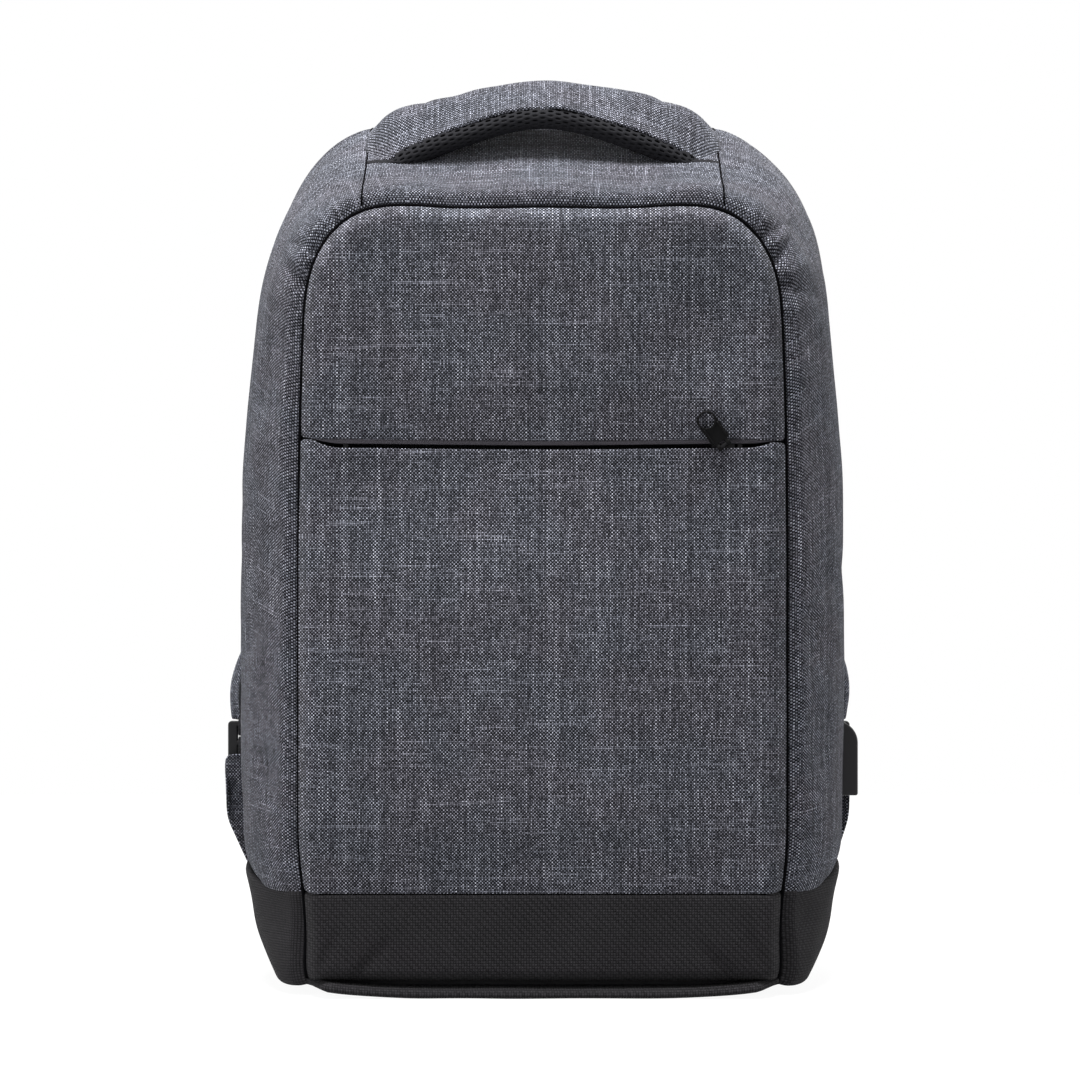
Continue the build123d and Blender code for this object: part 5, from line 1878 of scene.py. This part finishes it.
        def place(u: float, v: float) -> Vector:
            return self.skin(u, mix(start, end, v), 0.4 * MM)

        lining = sheet(f"strap_lining_cloth_{self.word}", 100, 16, place, lambda u, v: (girth(v), u * self.length),
                       self.finishes.mesh, self.finishes.foam, flip=self.side > 0)
        thicken(lining, 1.2 * MM, inner=1)
        assign(lining, self.body, "spacer_mesh", f"strap_lining_{self.word}", fill=0.6)

    def _binding(self) -> None:
        """Narrow binding sewn round both long edges and the lower end."""
        edge = [self.skin(s, -0.9) for s in np.linspace(1.0, 0.0, 110)]
        foot = [self.skin(0.0, -math.acos(c)) for c in np.linspace(0.6, -0.6, 10)]
        back = [self.skin(s, math.pi + 0.9) for s in np.linspace(0.0, 1.0, 110)]
        binding = tube(f"strap_binding_{self.word}", [*edge, *foot, *back], 0.9 * MM, self.finishes.webbing)
        assign(binding, self.body, "webbing")

    def _anchor(self) -> None:
        """Folded cloth that joins the strap to the panel's top."""
        low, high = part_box(f"strap_anchor_{self.word}")
        near, rear, top = self.face, high[1], high[2]
        middle = (low[0] + high[0]) / 2
        width = high[0] - low[0] - 2 * MM
        foot = self.skin(1.0, math.pi / 2).z
        section = Path(np.array([(near + 1.2 * MM, top - 1 * MM), (near + 7 * MM, top - 0.5 * MM),
                                 (near + 14 * MM, top - 5 * MM), (rear - 1 * MM, foot + 3.5 * MM),
                                 (rear - 5 * MM, foot + 1.0 * MM), (near + 6 * MM, foot + 1.0 * MM),
                                 (near + 1.2 * MM, foot + 2 * MM), (near + 1.2 * MM, top - 1 * MM)]))
        lean = self.side * self.axis.x / self.axis.z

        def place(u: float, v: float) -> Vector:
            y, z = section.at(v)
            x = (u - 0.5) * width
            drop = -lean * x * (1 - smooth(foot, top, z))
            swell = 0.5 * MM * math.sin(math.pi * u)
            return Vector((middle + x, y + swell, z + drop + 0.4 * MM))

        anchor = sheet(f"strap_anchor_cloth_{self.word}", 26, 40, place,
                       lambda u, v: (u * width + 2.1, v * 0.07), self.finishes.webbing)
        seal(anchor)
        soften(anchor)
        assign(anchor, "back_panel", "webbing", f"strap_anchor_{self.word}")

    def _webbing(self) -> None:
        """Lower webbing through the ladder lock, and the loop that holds the lock to the pad."""
        low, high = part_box(f"lower_webbing_{self.word}")
        lock_low, lock_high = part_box(f"ladder_lock_{self.word}")
        middle, width, thin = (low[0] + high[0]) / 2, high[0] - low[0], 1.6 * MM
        front, tail = low[1] + thin / 2, high[1] - thin / 2
        behind = lock_high[1] + 0.35 * MM + thin / 2
        turn = high[2] - thin / 2
        path = rounded([(front, low[2] + 36.4 * MM), (front, turn), (behind, turn), (behind, lock_low[2] + 6.5 * MM),
                        (tail, lock_low[2] - 5.5 * MM), (tail, low[2])])
        webbing = ribbon(f"lower_webbing_strip_{self.word}", path, middle, width, thin, self.finishes.webbing)
        assign(webbing, self.body, "webbing", f"lower_webbing_{self.word}")
        low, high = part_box(f"buckle_loop_{self.word}")
        near, rear, foot, top = low[1] + thin / 2, high[1] - thin / 2, low[2] + thin / 2, high[2] - thin / 2
        start = ((near + rear) / 2, foot)
        path = rounded([start, (near, foot), (near, top), (rear, top), (rear, foot), start], 2)
        loop = ribbon(f"buckle_loop_strip_{self.word}", path, middle, width, thin, self.finishes.webbing, True)
        assign(loop, self.body, "webbing", f"buckle_loop_{self.word}")

    def _wing(self) -> None:
        """Triangular wing that carries the lower webbing."""
        corners = np.array(self.WING) * MM
        if self.side > 0:
            corners[3:5, 0] -= 5.0 * MM
        rows, marks = [], []
        for index, point in enumerate(corners):
            before, after = corners[index - 1], corners[(index + 1) % len(corners)]
            cut = 5 * MM
            to_before = (before - point) / np.linalg.norm(before - point) * cut
            to_after = (after - point) / np.linalg.norm(after - point) * cut
            for share in np.linspace(0, 1, 6):
                if abs(share - 0.4) < 0.01:
                    marks.append(len(rows))
                rows.append((1 - share) ** 2 * (point + to_before) + 2 * share * (1 - share) * point
                            + share ** 2 * (point + to_after))
            run = after - point
            for share in np.linspace(0.25, 0.75, 4):
                rows.append(point + run * share)
        outline = np.array(rows)
        picks = [marks[0], marks[2], marks[4], marks[5]]
        if self.side < 0:
            outline = (outline * np.array((-1, 1)))[::-1]
            picks = sorted(len(outline) - 1 - m for m in picks)
        outline = np.roll(outline, -picks[0], axis=0)
        picks = [m - picks[0] for m in picks]
        wing = Cushion(f"strap_wing_cloth_{self.word}", outline, picks, self.face - 0.4 * MM, 4.9 * MM, 4 * MM,
                       (26, 30), swell=0.6 * MM, fill=0.5, flat_above=97 * MM)
        piece = wing.build(self.finishes.melange, self.finishes.melange, 1.0, 1.2 * MM)
        assign(piece, "back_panel", "melange_fabric", f"strap_wing_{self.word}")


# ------------------------------------------------------------------ inside of the bag
@dataclass
class Interior:
    """Lining of the front pocket."""

    form: BagForm
    finishes: Finishes

    def build(self) -> None:
        """Make the lining."""
        section = self.form.outline(self.form.seam + 2 * MM, 1.5 * MM, 160)
        foot_z = 8.2 * MM
        arch = [p for p in section if p[1] > foot_z]
        foot = [(x, foot_z) for x in np.linspace(-arch[0][0], arch[0][0], 40)][:-1]
        points = np.array([*foot, *arch])
        right = 39 + int(len(arch) * 0.36)
        left = 39 + int(len(arch) * 0.64)
        lining = Cushion("pocket_lining_cloth", points, [0, 39, right, left], self.form.seam + 1.6 * MM, 1.2 * MM,
                         8 * MM, (40, 50), swell=0.5 * MM, fill=0.1)
        piece = lining.build(self.finishes.lining, self.finishes.lining, 1.0, 0.8 * MM)
        assign(piece, "bag_body", "lining_fabric", "pocket_lining")
        log.info("interior lined")


# ------------------------------------------------------------------ stage
class Studio:
    """Camera, lamps, floor and world."""

    WHITE = (1.0, 1.0, 1.0, 1.0)

    def build(self) -> None:
        """Set up the stage."""
        scene = bpy.context.scene
        scene.view_settings.view_transform = "Standard"
        self._camera(scene)
        self._world(scene)
        self._lamp("key_softbox", (-0.1, -0.38, 2.3), (0.0, 0.0, 0.25), 0.95, 86.0)
        self._lamp("left_softbox", (-0.7, -0.55, 0.42), (0.0, 0.0, 0.2), 0.6, 3.3)
        self._lamp("right_softbox", (2.0, -0.45, 1.0), (0.0, 0.0, 0.2), 1.2, 9.5)
        self._lamp("rear_softbox", (0.4, 1.9, 1.3), (0.0, 0.0, 0.2), 1.4, 22.0)
        self._floor()

    def _camera(self, scene: Scene) -> None:
        """Straight front view at the height of the bag's middle."""
        data = bpy.data.cameras.new("camera")
        data.sensor_width = 36.0
        data.lens = 120.0
        scene.camera = self._put("camera", data, (-0.0014, -1.8, 0.220), (-0.0014, 0.0, 0.220))

    def _lamp(self, name: str, place: Sequence[float], aim: Sequence[float], size: float, power: float) -> None:
        """A square soft lamp."""
        data = bpy.data.lights.new(name, "AREA")
        data.shape = "SQUARE"
        data.size = size
        data.energy = power
        self._put(name, data, place, aim)

    def _put(self, name: str, data: ID, place: Sequence[float], aim: Sequence[float]) -> Object:
        """Put a camera or a lamp at a place, turned towards an aim."""
        made = bpy.data.objects.new(name, data)
        made.location = place
        made.rotation_euler = (Vector(aim) - Vector(place)).to_track_quat("-Z", "Y").to_euler()
        bpy.context.scene.collection.objects.link(made)
        return made

    def _world(self, scene: Scene) -> None:
        """Even surrounding light, white where it is seen."""
        scene.world = bpy.data.worlds.new("studio")
        g = Graph(scene.world)
        dim = g.node("ShaderNodeBackground", None, {"Color": self.WHITE, "Strength": 0.15})
        white = g.node("ShaderNodeBackground", None, {"Color": self.WHITE})
        blend = g.node("ShaderNodeMixShader", None, {0: g.seen(), 1: dim.outputs[0], 2: white.outputs[0]})
        g.node("ShaderNodeOutputWorld", None, {0: blend.outputs[0]})

    def _floor(self) -> None:
        """Pale floor that keeps a faint shadow."""
        bm = bmesh.new()
        bmesh.ops.create_grid(bm, x_segments=1, y_segments=1, size=1.3)
        bmesh.ops.translate(bm, verts=bm.verts[:], vec=(0, 0, -0.0002))
        g = Graph(bpy.data.materials.new("pale_floor"))
        matte = g.node("ShaderNodeBsdfDiffuse", None, {"Color": (0.4, 0.4, 0.4, 1)})
        glow = g.node("ShaderNodeEmission", None, {"Color": self.WHITE, "Strength": 1.42})
        blend = g.node("ShaderNodeMixShader", None,
                       {0: g.seen() * 0.66, 1: matte.outputs[0], 2: glow.outputs[0]})
        g.node("ShaderNodeOutputMaterial", None, {0: blend.outputs[0]})
        object_from(bm, "floor", g.owner)


def dress_nodes(finishes: Finishes) -> None:
    """Give every CAD node that stays in view its finish."""
    slots = {entry["node"]: entry["material_slot"] for entry in frame["record"]["subparts"]}
    looks = {"melange_fabric": finishes.melange, "black_fabric": finishes.black, "lining_fabric": finishes.lining,
             "stiff_board": finishes.board, "webbing": finishes.webbing, "black_plastic": finishes.plastic,
             "dark_metal": finishes.metal, "pull_rubber": finishes.rubber, "spacer_mesh": finishes.mesh,
             "foam": finishes.foam, "pod_plastic": finishes.pod, "steel": finishes.steel}
    for name, node in frame["nodes"].items():
        for slot in node.material_slots:
            slot.material = looks[slots[name]]


def main() -> None:
    """Build the bag piece by piece."""
    logging.basicConfig(level=logging.INFO, format="%(name)s: %(message)s")
    Studio().build()
    form = BagForm()
    finishes = Finishes()
    dress_nodes(finishes)
    Gussets(form, finishes).build()
    panels = FrontPanels(form, finishes)
    panels.build()
    Base(form, finishes).build()
    Handle(form, finishes).build()
    PocketZip(finishes, panels).build()
    RearZip(form, finishes).build()
    BackPanel(form, finishes).build()
    for side in (1, -1):
        ShoulderStrap(finishes, side).build()
    Interior(form, finishes).build()
    Sewing(form, finishes).build()


if __name__ == "__main__":
    main()
